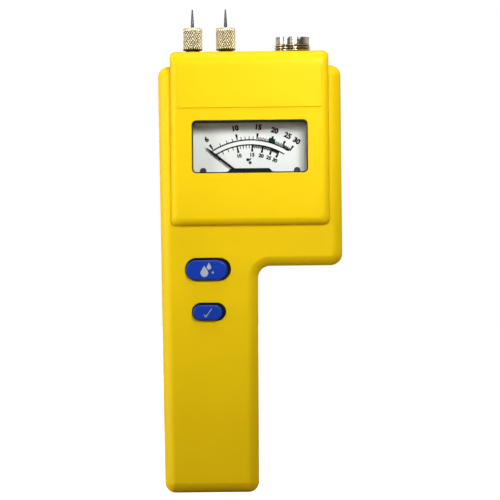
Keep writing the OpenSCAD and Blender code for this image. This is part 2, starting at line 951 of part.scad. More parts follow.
module rear_bridge() color("gainsboro") {
    bridge(rear_bridge_y, yoke_y1, rear_bridge_y + bridge_t);
}

module jewel_screws() color("firebrick") {
    difference() {
        rod_y([0, pivot_z], jewel_r, front_bridge_y, -11.2);
        rod_y([0, pivot_z], jewel_cup_r, -11.95, -11);
    }
    difference() {
        rod_y([0, pivot_z], jewel_r, 1.2, 3.1);
        rod_y([0, pivot_z], jewel_cup_r, 1, 1.95);
    }
}

module movement_screws() color("silver") {
    for (s = [-1, 1]) {
        rod_y([0, pivot_z + s * bridge_reach], 1, yoke_y0 - 0.9, yoke_y0);
        rod_y([0, pivot_z + s * bridge_reach], movement_screw_r, yoke_y0, 1.8);
    }
}

// Flat spiral of the given number of turns, as a thin closed outline
function spiral(r0, r1, turns, a0, side) = [
    for (k = [0:turns * 24])
        let (
            a = a0 + 15 * k,
            r = r0 + (r1 - r0) * k / (turns * 24) + side
        )
        r * [cos(a), sin(a)]
];

// Spiral spring about the pivot with a foot that reaches the bridge
module hairspring(y0, y1, foot_y0, foot_y1) {
    half = 0.06;
    outer = 3.3;
    translate([0, y1, pivot_z])
        rotate([90, 0, 0])
            linear_extrude(y1 - y0)
                polygon(concat(spiral(0.65, outer, 3, 0, half), backwards(spiral(0.65, outer, 3, 0, -half))));
    block([outer - 0.1, foot_y0, pivot_z - 0.3], [outer + 0.5, foot_y1, pivot_z + 0.3]);
}

module front_hairspring() color("orange") {
    hairspring(-9.6, -9.2, front_bridge_y + bridge_t, -9.2);
}

module rear_hairspring() color("orange") {
    hairspring(0.5, 0.9, 0.5, rear_bridge_y);
}

// ---------------------------------------------------------------- pins

// Contact pin: a tapered needle on a round shoulder that rests on its stud
module pin_at(x) {
    shoulder_top = cap_top_z - cap_roof - 0.05;
    taper_z = cap_top_z + 0.3;
    tip_z = cap_top_z + pin_reach;
    translate([x, terminal_y, 0]) {
        translate([0, 0, stud_top_z + 0.03])
            cylinder(r = pin_shoulder_r, h = shoulder_top - stud_top_z - 0.03);
        translate([0, 0, shoulder_top])
            cylinder(r = pin_r, h = taper_z - shoulder_top);
        translate([0, 0, taper_z])
            cylinder(r1 = pin_r, r2 = 0.22, h = tip_z - taper_z);
    }
}

module left_pin() color("slategray") {
    pin_at(left_pin_x);
}

module right_pin() color("slategray") {
    pin_at(right_pin_x);
}

// Retaining cap that screws down over the stud
module pin_cap_at(x) {
    translate([x, terminal_y, 0])
        difference() {
            union() {
                translate([0, 0, cap_low_z])
                    cylinder(d = cap_d, h = cap_top_z - cap_low_z - cap_chamfer);
                translate([0, 0, cap_top_z - cap_chamfer])
                    cylinder(d1 = cap_d, d2 = cap_d - 2 * cap_chamfer, h = cap_chamfer);
            }
            translate([0, 0, cap_low_z - 1])
                cylinder(r = cap_bore_r, h = cap_top_z - cap_low_z - cap_roof + 1);
            translate([0, 0, cap_low_z])
                cylinder(r = pin_r + 0.1, h = cap_top_z);
        }
}

module left_pin_cap() color("wheat") {
    pin_cap_at(left_pin_x);
}

module right_pin_cap() color("wheat") {
    pin_cap_at(right_pin_x);
}

module pin_studs() color("goldenrod") {
    for (x = [left_pin_x, right_pin_x])
        translate([x, terminal_y, stud_low_z])
            cylinder(r = stud_r, h = stud_top_z - stud_low_z);
}

module pin_insulators() color("black") {
    for (x = [left_pin_x, right_pin_x])
        translate([x, terminal_y, 0])
            difference() {
                union() {
                    translate([0, 0, top_inner_z])
                        cylinder(r = insulator_r, h = top_wall);
                    translate([0, 0, block_top_z])
                        cylinder(r = insulator_lip_r, h = insulator_lip_t);
                }
                translate([0, 0, top_inner_z - 1])
                    cylinder(r = stud_r + thread_gap, h = 8);
            }
}

stud_washer_t = 0.6;
stud_nut_t = 2.4;

// Ring round each stud below the top wall
module stud_rings(r, z1, t, sides) {
    for (x = [left_pin_x, right_pin_x])
        translate([x, terminal_y, z1 - t])
            difference() {
                cylinder(r = r, h = t, $fn = sides);
                translate([0, 0, -1])
                    cylinder(r = stud_r + thread_gap, h = t + 2);
            }
}

module stud_washers() color("black") {
    stud_rings(4.4, top_inner_z, stud_washer_t, 64);
}

module stud_nuts() color("silver") {
    stud_rings(4.2, top_inner_z - stud_washer_t, stud_nut_t, 6);
}

// ---------------------------------------------------------------- probe socket

flange_half = 8.8;
flange_t = 1.8;
socket_low_z = 184;
notch_w = 1.9;
notch_h = 1.5;

module socket_shell() color("silver") {
    translate([socket_x, terminal_y, 0])
        difference() {
            union() {
                translate([0, 0, socket_low_z])
                    cylinder(r = 7.2, h = top_inner_z - socket_low_z);
                block(
                    [-flange_half, -flange_half, top_inner_z - flange_t],
                    [flange_half, flange_half, top_inner_z]
                );
                translate([0, 0, top_inner_z])
                    cylinder(r = neck_r, h = thread_low_z - top_inner_z);
                translate([0, 0, thread_low_z])
                    cylinder(d = thread_d, h = thread_top_z - thread_low_z);
                translate([0, 0, thread_top_z])
                    cylinder(r = rim_r, h = socket_rim_z - thread_top_z);
            }
            translate([0, 0, socket_low_z - 1])
                cylinder(r = socket_bore_r, h = 20);
            for (i = [0:notch_count - 1])
                rotate([0, 0, 360 * i / notch_count])
                    translate([socket_bore_r - 1, 0, socket_rim_z + 0.01])
                        rotate([90, 0, 90])
                            linear_extrude(4)
                                polygon([[-notch_w / 2, 0], [0, -notch_h], [notch_w / 2, 0]]);
            for (s = [-1, 1])
                translate([s * 6.6, s * 6.6, top_inner_z - flange_t - 1])
                    cylinder(r = 0.95, h = flange_t + 2);
        }
}

module socket_insulator() color("ivory") {
    translate([socket_x, terminal_y, socket_low_z])
        difference() {
            cylinder(r = socket_bore_r - 0.03, h = 12);
            translate([0, 0, -1])
                cylinder(r = contact_r + thread_gap, h = 14);
        }
}

module socket_contact() color("goldenrod") {
    contact_top_z = socket_rim_z - 1;
    bore_depth = 8.6;
    translate([socket_x, terminal_y, 0])
        difference() {
            translate([0, 0, 181.5])
                cylinder(r = contact_r, h = contact_top_z - 181.5);
            translate([0, 0, contact_top_z - bore_depth])
                cylinder(d = contact_d, h = bore_depth + 1);
        }
}

module socket_screws() color("silver") {
    for (s = [-1, 1])
        translate([socket_x + s * 6.6, terminal_y + s * 6.6, 0]) {
            translate([0, 0, top_inner_z - flange_t - 1])
                cylinder(r = 1.6, h = 1);
            translate([0, 0, top_inner_z - flange_t])
                cylinder(r = 0.8, h = flange_t + 2.2);
        }
}

// ---------------------------------------------------------------- leads

module meter_lead_red() color("red") {
    lead([
        [meter_stud_x, 9.5, meter_stud_z], [meter_stud_x, 11, meter_stud_z], [14.5, 12, 145],
        [6, 10.5, 134], [-6, 9, 122], [-13, 5, 115.5], [-15, 1, 113], [-15, board_back_y, 113]
    ]);
}

module meter_lead_black() color("black") {
    lead([
        [-meter_stud_x, 9.5, meter_stud_z], [-meter_stud_x, 11.5, meter_stud_z], [-16.5, 13.5, 144],
        [-19, 13.5, 132], [-22, 11, 120], [-23, 6, 114], [-23, 1, 112.5], [-23, board_back_y, 112.5]
    ]);
}

// Leads from the two studs, down behind the panel meter to the board
module pin_leads() color("white") {
    lead([
        [left_pin_x, terminal_y, stud_low_z], [left_pin_x, terminal_y, 180], [left_pin_x - 0.5, 3, 174],
        [-25.5, 10, 167], [-26, 12, 156], [-26.5, 12, 142], [-27, 11, 128], [-27, 6.5, 117.5],
        [-27, 1, 113.5], [-27, board_back_y, 113.5]
    ]);
    lead([
        [right_pin_x, terminal_y, stud_low_z], [right_pin_x, terminal_y, 180], [right_pin_x, 3, 174],
        [-10, 10, 167], [-9, 13.5, 156], [-8, 14.5, 142], [-9, 13.5, 128], [-14, 10.5, 118.5],
        [-18, 5, 114.5], [-19, 1, 113.5], [-19, board_back_y, 113.5]
    ]);
}

// Leads from the centre contact and the shell of the socket
module socket_leads() color("white") {
    lead([
        [socket_x, terminal_y, 181.5], [socket_x, terminal_y, 178], [18.5, 4, 172],
        [16, 12, 166], [9, 15, 158], [4, 15.6, 142], [-1, 15, 128], [-6, 10, 117],
        [-11.5, 3, 112.5], [-11.5, board_back_y, 112.5]
    ]);
    lead([
        [socket_x + 8.1, terminal_y, top_inner_z - flange_t], [socket_x + 8.1, terminal_y, 183],
        [26.5, 4, 174], [25, 12, 166], [24, 14, 156], [20, 15, 140], [8, 14.5, 124], [-1, 10, 113.5],
        [-5, 4, 107], [-5, board_back_y, 107]
    ]);
}

front_case();
rear_case();
case_screws();
battery_door();
door_hinge_pin();
door_pad();
battery();
battery_terminals();
battery_snap();
battery_lead_red();
battery_lead_black();
main_board();
board_screws();
board_chip();
board_resistors();
board_capacitors();
trim_pot();
trim_rotor();
measure_switch();
check_switch();
measure_plunger();
check_plunger();
measure_button();
check_button();
meter_window();
meter_base();
meter_screws();
meter_studs();
meter_nuts();
dial_plate();
dial_screws();
pointer_mask();
pointer();
pointer_staff();
moving_coil();
core_magnet();
yoke_ring();
front_bridge();
rear_bridge();
jewel_screws();
movement_screws();
front_hairspring();
rear_hairspring();
left_pin();
right_pin();
left_pin_cap();
right_pin_cap();
pin_studs();
pin_insulators();
stud_washers();
stud_nuts();
socket_shell();
socket_insulator();
socket_contact();
socket_screws();
meter_lead_red();
meter_lead_black();
pin_leads();
socket_leads();
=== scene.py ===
"""Looks of a pin-type moisture meter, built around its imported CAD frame.

Lengths in this script are millimetres and become metres where a mesh is made. +Z runs up along
the pins, the dial faces -Y and +X is to the dial's right.
"""

import json
import math

import bmesh
import bpy
from mathutils import Matrix, Vector

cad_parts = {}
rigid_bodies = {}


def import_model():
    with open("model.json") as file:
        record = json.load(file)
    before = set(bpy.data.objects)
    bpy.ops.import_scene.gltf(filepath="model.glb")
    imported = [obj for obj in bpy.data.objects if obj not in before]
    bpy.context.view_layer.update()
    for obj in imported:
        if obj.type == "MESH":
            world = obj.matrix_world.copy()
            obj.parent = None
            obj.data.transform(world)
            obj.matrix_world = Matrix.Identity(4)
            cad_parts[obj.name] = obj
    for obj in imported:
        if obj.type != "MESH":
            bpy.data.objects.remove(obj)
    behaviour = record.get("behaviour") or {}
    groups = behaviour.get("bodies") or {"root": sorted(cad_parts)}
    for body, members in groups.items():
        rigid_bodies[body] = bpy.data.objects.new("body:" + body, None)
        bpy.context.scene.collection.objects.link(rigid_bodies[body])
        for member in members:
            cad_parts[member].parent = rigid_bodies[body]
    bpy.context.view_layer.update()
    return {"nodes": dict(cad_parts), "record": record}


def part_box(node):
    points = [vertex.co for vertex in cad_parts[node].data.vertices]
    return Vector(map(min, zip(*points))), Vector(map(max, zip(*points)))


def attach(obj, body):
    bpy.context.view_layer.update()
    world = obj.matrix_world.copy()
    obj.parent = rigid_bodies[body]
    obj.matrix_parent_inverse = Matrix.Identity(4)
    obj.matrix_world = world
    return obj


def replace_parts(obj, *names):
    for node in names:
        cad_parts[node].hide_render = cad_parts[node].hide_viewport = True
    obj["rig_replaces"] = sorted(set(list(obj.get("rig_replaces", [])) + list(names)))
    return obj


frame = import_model()
MM = 0.001


def span(node):
    """Lowest and highest corner of a CAD node, in millimetres."""
    low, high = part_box(node)
    return low / MM, high / MM


# ---------------------------------------------------------------- sizes

# Depths of the main planes
PAD_Y = -20.0
BLOCK_Y = -19.45
BASE_Y = -15.6
PART_Y = 9.0
BACK_Y = 20.0
WALL = 2.4
INNER_FRONT_Y = BASE_Y + WALL
INNER_BLOCK_Y = BLOCK_Y + 2.25
INNER_BACK_Y = BACK_Y - WALL

# Plan of the case, as (x, z, corner radius); a negative radius is an inside corner
HEAD_X = 40.0
SHOULDER_Z = 186.7
HANDLE_LEFT = -38.6
HANDLE_RIGHT = 2.5
FOOT_X = (HANDLE_LEFT + HANDLE_RIGHT) / 2
CORNER_R = 4.6
LEFT_LEAN = CORNER_R * (HEAD_X + HANDLE_LEFT) / SHOULDER_Z
CASE_CORNERS = [
    (HANDLE_LEFT, 0, CORNER_R),
    (HANDLE_RIGHT, 0, CORNER_R),
    (HANDLE_RIGHT + 0.5, 99, -5.3),
    (HEAD_X, 99, 5.3),
    (HEAD_X, SHOULDER_Z, CORNER_R),
    (-HEAD_X - LEFT_LEAN, SHOULDER_Z, CORNER_R),
]
FRONT_FILLET = 4.4
FILLET_POWER = 1.35
REAR_FILLET = 2.2
GROOVE = 0.22
INNER_ROLL = 2.0

# Raised block round the dial
BLOCK_X = 34.7
BLOCK_TOP_Z = 193.0
BLOCK_LOW_Z = 117.0
BLOCK_R = 2.4
PAD_X = 31.6
PAD_Z = (168.3, 187.2)
PAD_R = 0.8
SIDE_SLOPE = 3.3
TOP_SLOPE = 5.6
LOW_SLOPE = 3.5
TOP_WALL = 3.4
TOP_INNER_Z = BLOCK_TOP_Z - TOP_WALL
POCKET_X = 31.4
POCKET_LOW_Z = 120.5
STEP_R = 0.3
REAR_CORNERS = CASE_CORNERS[:5] + [
    (BLOCK_X, SHOULDER_Z, -STEP_R),
    (BLOCK_X, BLOCK_TOP_Z, BLOCK_R),
    (-BLOCK_X, BLOCK_TOP_Z, BLOCK_R),
    (-BLOCK_X, SHOULDER_Z, -STEP_R),
    CASE_CORNERS[5],
]

# Window, dial and movement
WINDOW_Z = 151.25
WINDOW_W = 50.7
WINDOW_H = 23.1
WINDOW_R = 2.0
DIAL_Y = -9.4
PIVOT_Z = 136.0
SCALE_Z = 123.6
OUTER_R = 30.8
INNER_R = 28.6
PRINT_Y = (DIAL_Y - 0.03, DIAL_Y + 0.02)
POINTER_REST = 52

# Where the numbers of the two scales sit, as value: degrees right of straight up
MAJOR_MARKS = (6, 10, 15, 20, 25, 30)
OUTER_SCALE = {6: -31.4, 7: -24.5, 8: -18.8, 9: -14.1, 10: -10.2, 15: 5.8, 20: 17.5, 25: 27.2, 30: 34.2}
INNER_SCALE = {6: -31.0, 7: -25.2, 8: -20.0, 9: -15.4, 10: -11.4, 15: 2.1, 20: 11.6, 25: 19.8, 30: 26.5}

# Buttons, as (x, z, length, height)
MEASURE_KEY = (-19.1, 97.7, 18.9, 9.3)
CHECK_KEY = (-18.9, 79.1, 13.8, 7.2)
HOLE_SHIFT = (0.25, 0.12)
KEY_GAP = 0.3
KEY_END_GAP = 0.55
KEY_SHIFT = (0.36, 0.26)
KEY_FACE_Y = BASE_Y - 2
KEY_LIP_Y = INNER_FRONT_Y + 0.05
STEM_END_Y = -10.6

# Things on the top wall
TERMINAL_Y = -1.5
PIN_X = (-24.8, -10.2)
SOCKET_X = 19.2
STUD_R = 2.4
BUSH_R = 3.1
NECK_R = 7.0
THREAD_R = 7.9375
THREAD_PITCH = 1.058
STUD_PITCH = 0.794
CAP_BORE_R = 2.48
KNURL_CELLS = 24
KNURL_ROWS = 11
KNURL_DEPTH = 0.45
SOCKET_BORE_R = 6.1
SOCKET_RIM_R = 7.4
SOCKET_BODY_R = 7.2
FLANGE_HALF = 8.8
FLANGE_T = 1.8
NOTCHES = 8
NOTCH_PHASE = -20

# Fixings
CASE_SCREWS = [(-34, 180.3), (34, 180.3), (-33.6, 120), (33.6, 105.4), (FOOT_X, 6.6)]
BOARD_SCREWS = [(x, z) for x in (-31, -6) for z in (71.4, 113.6)]
LUGS = [(x, z) for x in (-34, 34) for z in (131, 158)]
SCREW_SEAT_Y = 14.0
POST_ROOT_Y = INNER_FRONT_Y - 0.4
REAR_POST_END_Y = INNER_BACK_Y + 0.4
CASE_POST_R = 3.2
REAR_POST_R = 3.8
BOARD_POST_R = 2.5
LUG_R = 2.4
CASE_BORE_R = 1.52
CASE_BORE_END_Y = -4.0
SMALL_BORE_R = 1.02
BOARD_FRONT_Y = -4.4
LUG_END_Y = -7.0

# Battery bay and door
BAY_W = 27.6
BAY_WALL = 1.4
BAY_Z = (12.0, 66.0)
BAY_Y = -2.4
LEAD_HOLE_Y = 9.5
LEAD_HOLE_R = 2.6
DOOR_GAP = 0.15
DOOR_AXIS = (18.9, 13.6)
DOOR_TOP_Z = 63.8
DOOR_RIBS = 6

# Studio, in metres, and the colour of its cool lamps
HEAD = (0.01, 0, 0.172)
COOL = (0.93, 1, 0.97)


# ---------------------------------------------------------------- plan outlines

def turned(v, angle):
    """Plan vector turned anticlockwise."""
    c, s = math.cos(angle), math.sin(angle)
    return Vector((v[0] * c - v[1] * s, v[0] * s + v[1] * c))


def edge_normal(a, b):
    """Outward unit normal of the edge from a to b of a counter-clockwise loop."""
    d = (b - a).normalized()
    return Vector((d.y, -d.x))


def rounded_loop(corners, inset=0.0, steps=12):
    """Loop round corners of (x, z, radius), moved inwards by inset."""
    loop = []
    n = len(corners)
    for i, (x, z, radius) in enumerate(corners):
        here = Vector((x, z))
        m = edge_normal(Vector(corners[i - 1][:2]), here)
        o = edge_normal(here, Vector(corners[(i + 1) % n][:2]))
        centre = here - radius * (m + o) / (1 + m.dot(o))
        sweep = math.atan2(m.x * o.y - m.y * o.x, m.dot(o))
        loop += [centre + (radius - inset) * turned(m, sweep * k / steps) for k in range(steps + 1)]
    return loop


def box_corners(x0, x1, z0, z1, r):
    return [(x0, z0, r), (x1, z0, r), (x1, z1, r), (x0, z1, r)]


def slot_corners(x, z, length, height, grow=0.0):
    """Corners of a slot-shaped outline centred on x and z."""
    half_l, half_h = length / 2 + grow, height / 2 + grow
    return box_corners(x - half_l, x + half_l, z - half_h, z + half_h, half_h - 0.001)


def at_depth(loop, y):
    return [(p[0], y, p[1]) for p in loop]


def ring_at(y, corners, inset=0.0, steps=12):
    """Ring of points at depth y round corners of (x, z, radius), moved inwards by inset."""
    return at_depth(rounded_loop(corners, inset, steps), y)


def rolled_rings(corners, y, radius, away, steps=12, power=1.0):
    """Rings that roll a face at depth y over a radius; away is 1 where the solid lies behind it.

    A power above 1 flattens the middle of the roll, so that it reads as a soft-edged chamfer.
    """
    rings = []
    for k in range(steps + 1):
        a = math.pi / 2 * k / steps
        inset = radius * (1 - math.sin(a) ** power)
        drop = radius * (1 - max(0.0, math.cos(a)) ** power)
        rings.append(ring_at(y + away * drop, corners, inset))
    return rings


# ---------------------------------------------------------------- mesh helpers

def new_object(name, data):
    """Object in the scene for a mesh, text, lamp or camera."""
    piece = bpy.data.objects.new(name, data)
    bpy.context.scene.collection.objects.link(piece)
    return piece


def make(name, points, faces):
    """Mesh object from points in millimetres, with its faces turned outwards."""
    mesh = bpy.data.meshes.new(name)
    mesh.from_pydata([Vector(p) * MM for p in points], [], faces)
    bm = bmesh.new()
    bm.from_mesh(mesh)
    bmesh.ops.remove_doubles(bm, verts=bm.verts, dist=1e-8)
    bmesh.ops.recalc_face_normals(bm, faces=bm.faces)
    bm.to_mesh(mesh)
    bm.free()
    return new_object(name, mesh)


def loft(name, rings, loop=False):
    """Skin through rings of equal length, closed by flat ends or joined round into a loop."""
    n = len(rings[0])
    count = len(rings)
    links = count if loop else count - 1
    faces = []
    for i in range(links):
        a, b = i * n, (i + 1) % count * n
        faces += [(a + j, a + (j + 1) % n, b + (j + 1) % n, b + j) for j in range(n)]
    if not loop:
        faces += [tuple(reversed(range(n))), tuple((count - 1) * n + j for j in range(n))]
    return make(name, [p for ring in rings for p in ring], faces)


def box(name, low, high):
    (x0, y0, z0), (x1, y1, z1) = low, high
    corners = [(x0, z0), (x1, z0), (x1, z1), (x0, z1)]
    return loft(name, [at_depth(corners, y0), at_depth(corners, y1)])


def plate(name, outline, y0, y1):
    """Flat plate whose outline is a loop of (x, z)."""
    return loft(name, [at_depth(outline, y0), at_depth(outline, y1)])


def along_z(x, y=TERMINAL_Y):
    return Matrix.Translation((x, y, 0))


def along_y(x, z):
    """Turns an upright lathe so that its height runs along +Y."""
    return Matrix.Translation((x, 0, z)) @ Matrix.Rotation(-math.pi / 2, 4, "X")


def along_x(y, z):
    """Turns an upright lathe so that its height runs along +X."""
    return Matrix.Translation((0, y, z)) @ Matrix.Rotation(math.pi / 2, 4, "Y")


def lathe(name, profile, place, sides=64, loop=False):
    """Round piece through (radius, height) stations; a radius may be a function of angle and height."""
    rings = []
    for radius, height in profile:
        ring = []
        for k in range(sides):
            a = 2 * math.pi * k / sides
            r = radius(a, height) if callable(radius) else radius
            ring.append(place @ Vector((r * math.cos(a), r * math.sin(a), height)))
        rings.append(ring)
    return loft(name, rings, loop)


def rod(name, place, r, h0, h1, sides=48):
    return lathe(name, [(r, h0), (r, h1)], place, sides)


def merged(name, parts):
    """One mesh object from several, which are used up."""
    bm = bmesh.new()
    for part in parts:
        bm.from_mesh(part.data)
    mesh = bpy.data.meshes.new(name)
    bm.to_mesh(mesh)
    bm.free()
    for part in parts:
        discard(part)
    return new_object(name, mesh)


def discard(piece):
    mesh = piece.data
    bpy.data.objects.remove(piece)
    bpy.data.meshes.remove(mesh)


def freeze(piece):
    """Applies a piece's modifiers to its mesh."""
    graph = bpy.context.evaluated_depsgraph_get()
    mesh = bpy.data.meshes.new_from_object(piece.evaluated_get(graph))
    old = piece.data
    piece.modifiers.clear()
    piece.data = mesh
    bpy.data.meshes.remove(old)


def boolean(piece, tool, operation):
    modifier = piece.modifiers.new(operation, "BOOLEAN")
    modifier.operation = operation
    modifier.object = tool
    modifier.solver = "EXACT"
    freeze(piece)
    discard(tool)


def cut(piece, *tools):
    for tool in tools:
        boolean(piece, tool, "DIFFERENCE")


def add(piece, *tools):
    for tool in tools:
        boolean(piece, tool, "UNION")


def smooth(piece, angle=35):
    """Smooth shading with sharp edges kept, weighted so that flat faces look flat."""
    mesh = piece.data
    mesh.polygons.foreach_set("use_smooth", [True] * len(mesh.polygons))
    mesh.set_sharp_from_angle(angle=math.radians(angle))
    modifier = piece.modifiers.new("normals", "WEIGHTED_NORMAL")
    modifier.keep_sharp = True
    modifier.weight = 80


# ---------------------------------------------------------------- materials

def nodes_of(name):
    material = bpy.data.materials.new(name)
    material.use_nodes = True
    tree = material.node_tree
    return material, tree, tree.nodes["Principled BSDF"]


def noise(tree, scale, detail=4.0, rough=0.55, stretch=(1, 1, 1)):
    """Noise in the piece's own space, with features of about 1 / scale metres."""
    where = tree.nodes.new("ShaderNodeTexCoord")
    mapping = tree.nodes.new("ShaderNodeMapping")
    mapping.inputs["Scale"].default_value = stretch
    texture = tree.nodes.new("ShaderNodeTexNoise")
    texture.inputs["Scale"].default_value = scale
    texture.inputs["Detail"].default_value = detail
    texture.inputs["Roughness"].default_value = rough
    tree.links.new(where.outputs["Object"], mapping.inputs["Vector"])
    tree.links.new(mapping.outputs["Vector"], texture.inputs["Vector"])
    return texture.outputs["Fac"]


def ramp(tree, value, stops):
    """Colour ramp through (place, grey or colour) stops."""
    node = tree.nodes.new("ShaderNodeValToRGB")
    while len(node.color_ramp.elements) < len(stops):
        node.color_ramp.elements.new(0.5)
    for element, (place, colour) in zip(node.color_ramp.elements, stops):
        element.position = place
        element.color = (*colour, 1) if isinstance(colour, tuple) else (colour, colour, colour, 1)
    tree.links.new(value, node.inputs["Fac"])
    return node.outputs["Color"]


def feed(tree, value, stops, socket):
    """Drives a shader's socket from a value through a ramp."""
    tree.links.new(ramp(tree, value, stops), socket)


def bumped(tree, shader, height, strength, distance):
    node = tree.nodes.new("ShaderNodeBump")
    node.inputs["Strength"].default_value = strength
    node.inputs["Distance"].default_value = distance * MM
    tree.links.new(height, node.inputs["Height"])
    tree.links.new(node.outputs["Normal"], shader.inputs["Normal"])


def shades(colour, spread):
    """A darker and a lighter shade of a colour."""
    return tuple(c * (1 - spread) for c in colour), tuple(min(1.0, c * (1 + spread)) for c in colour)


def moulded(name, colour, rough=(0.36, 0.48), grain=2600, grain_depth=0.012, spread=0.03, specular=0.5):
    """Moulded plastic: a fine spark-eroded grain, faint flow shading and uneven gloss."""
    material, tree, shader = nodes_of(name)
    dark, light = shades(colour, spread)
    flow = noise(tree, 45, 3, 0.5)
    feed(tree, flow, [(0.35, dark), (0.65, light)], shader.inputs["Base Color"])
    gloss = noise(tree, 320, 5)
    feed(tree, gloss, [(0.3, rough[0]), (0.7, rough[1])], shader.inputs["Roughness"])
    bumped(tree, shader, noise(tree, grain, 3, 0.6), 0.5, grain_depth)
    shader.inputs["Specular IOR Level"].default_value = specular
    return material


def metal(
    name, colour, rough=(0.25, 0.4), stretch=(1, 1, 1), scale=900, depth=0.004, spread=0.06, grime=None
):
    """Metal with drawn-out tool marks and uneven polish; an optional dark colour paints shade on the
    vertices whose shade mark is 0, in grooves and below them.
    """
    material, tree, shader = nodes_of(name)
    dark, light = shades(colour, spread)
    marks = noise(tree, scale, 6, 0.6, stretch)
    tone = ramp(tree, noise(tree, 260, 4), [(0.3, dark), (0.7, light)])
    if grime:
        painted_shade_mask = tree.nodes.new("ShaderNodeAttribute")
        painted_shade_mask.attribute_name = "painted_shade_mask"
        mix = tree.nodes.new("ShaderNodeMixRGB")
        mix.inputs["Color1"].default_value = (*grime, 1)
        feed(tree, painted_shade_mask.outputs["Fac"], [(0.2, 0.0), (0.5, 1.0)], mix.inputs["Fac"])
        tree.links.new(tone, mix.inputs["Color2"])
        tone = mix.outputs["Color"]
    tree.links.new(tone, shader.inputs["Base Color"])
    feed(tree, marks, [(0.3, rough[0]), (0.7, rough[1])], shader.inputs["Roughness"])
    bumped(tree, shader, marks, 0.35, depth)
    shader.inputs["Metallic"].default_value = 1.0
    return material


def painted(name, colour, rough=(0.3, 0.4), spread=0.04, specular=0.5):
    """Thin smooth paint or print on metal, with a faint orange peel."""
    material, tree, shader = nodes_of(name)
    dark, light = shades(colour, spread)
    feed(tree, noise(tree, 180, 3), [(0.3, dark), (0.7, light)], shader.inputs["Base Color"])
    feed(tree, noise(tree, 700, 4), [(0.3, rough[0]), (0.7, rough[1])], shader.inputs["Roughness"])
    bumped(tree, shader, noise(tree, 1500, 2), 0.25, 0.004)
    shader.inputs["Specular IOR Level"].default_value = specular
    return material


def wound(name, colour):
    """Fine winding: close turns of enamelled wire."""
    material, tree, shader = nodes_of(name)
    where = tree.nodes.new("ShaderNodeTexCoord")
    wave = tree.nodes.new("ShaderNodeTexWave")
    wave.bands_direction = "Y"
    wave.inputs["Scale"].default_value = 1600
    wave.inputs["Distortion"].default_value = 0.4
    tree.links.new(where.outputs["Object"], wave.inputs["Vector"])
    dark, light = shades(colour, 0.35)
    feed(tree, wave.outputs["Fac"], [(0.2, dark), (0.8, light)], shader.inputs["Base Color"])
    feed(tree, noise(tree, 500), [(0.3, 0.25), (0.7, 0.4)], shader.inputs["Roughness"])
    bumped(tree, shader, wave.outputs["Fac"], 0.6, 0.05)
    shader.inputs["Metallic"].default_value = 0.7
    return material


def board_green(name):
    """Solder mask over copper: tracks show as slightly lighter, raised paths."""
    material, tree, shader = nodes_of(name)
    where = tree.nodes.new("ShaderNodeTexCoord")
    brick = tree.nodes.new("ShaderNodeTexBrick")
    brick.inputs["Scale"].default_value = 260
    brick.inputs["Mortar Size"].default_value = 0.035
    turn = tree.nodes.new("ShaderNodeMapping")
    turn.inputs["Rotation"].default_value = (math.pi / 2, 0, 0)
    tree.links.new(where.outputs["Object"], turn.inputs["Vector"])
    tree.links.new(turn.outputs["Vector"], brick.inputs["Vector"])
    tracks = ramp(tree, brick.outputs["Fac"], [(0.0, (0.01, 0.09, 0.035)), (1.0, (0.03, 0.2, 0.07))])
    tree.links.new(tracks, shader.inputs["Base Color"])
    feed(tree, noise(tree, 600), [(0.3, 0.3), (0.7, 0.45)], shader.inputs["Roughness"])
    bumped(tree, shader, brick.outputs["Fac"], 0.4, 0.03)
    return material


def clear_cover(name):
    """Clear polished plastic: light passes straight through and only the surface shines."""
    material, tree, shader = nodes_of(name)
    tree.nodes.remove(shader)
    through = tree.nodes.new("ShaderNodeBsdfTransparent")
    through.inputs["Color"].default_value = (0.985, 0.988, 0.988, 1)
    shine = tree.nodes.new("ShaderNodeBsdfGlossy")
    shine.inputs["Color"].default_value = (1, 1, 1, 1)
    feed(tree, noise(tree, 300), [(0.3, 0.02), (0.7, 0.06)], shine.inputs["Roughness"])
    edge = tree.nodes.new("ShaderNodeLayerWeight")
    edge.inputs["Blend"].default_value = 0.5
    glance = tree.nodes.new("ShaderNodeMath")
    glance.operation = "POWER"
    glance.inputs[1].default_value = 5
    mirror = tree.nodes.new("ShaderNodeMapRange")
    mirror.inputs["To Min"].default_value = 0.035
    mix = tree.nodes.new("ShaderNodeMixShader")
    tree.links.new(edge.outputs["Facing"], glance.inputs[0])
    tree.links.new(glance.outputs["Value"], mirror.inputs["Value"])
    tree.links.new(mirror.outputs["Result"], mix.inputs["Fac"])
    tree.links.new(through.outputs["BSDF"], mix.inputs[1])
    tree.links.new(shine.outputs["BSDF"], mix.inputs[2])
    tree.links.new(mix.outputs["Shader"], tree.nodes["Material Output"].inputs["Surface"])
    return material


CASE_YELLOW = (0.8, 0.515, 0.002)
LOOKS = {}
PRINTS = {}


def stock(maker, name, *settings, group=LOOKS, **more):
    """Makes a material and files it under its name."""
    group[name] = maker(name, *settings, **more)


stock(moulded, "case_plastic", CASE_YELLOW, (0.34, 0.42), spread=0.015, specular=0.09)
stock(moulded, "black_plastic", (0.006, 0.006, 0.007), (0.4, 0.55), spread=0.15, specular=0.15)
stock(moulded, "white_plastic", (0.8, 0.79, 0.74), (0.35, 0.5))
stock(moulded, "blue_plastic", (0.002, 0.033, 0.35), (0.3, 0.4), grain_depth=0.008, specular=0.2)
stock(moulded, "chip_plastic", (0.02, 0.02, 0.022), (0.55, 0.7), spread=0.12)
stock(moulded, "trimmer", (0.02, 0.09, 0.42), (0.35, 0.5))
stock(moulded, "resistor", (0.55, 0.36, 0.17), (0.35, 0.5), spread=0.12)
stock(moulded, "foam", (0.02, 0.02, 0.022), (0.85, 0.95), 1800, 0.2, 0.25, 0.2)
stock(moulded, "fibre", (0.04, 0.03, 0.022), (0.7, 0.85), 1500, 0.04, 0.25, 0.3)
stock(moulded, "red_lead", (0.5, 0.012, 0.01), (0.35, 0.45))
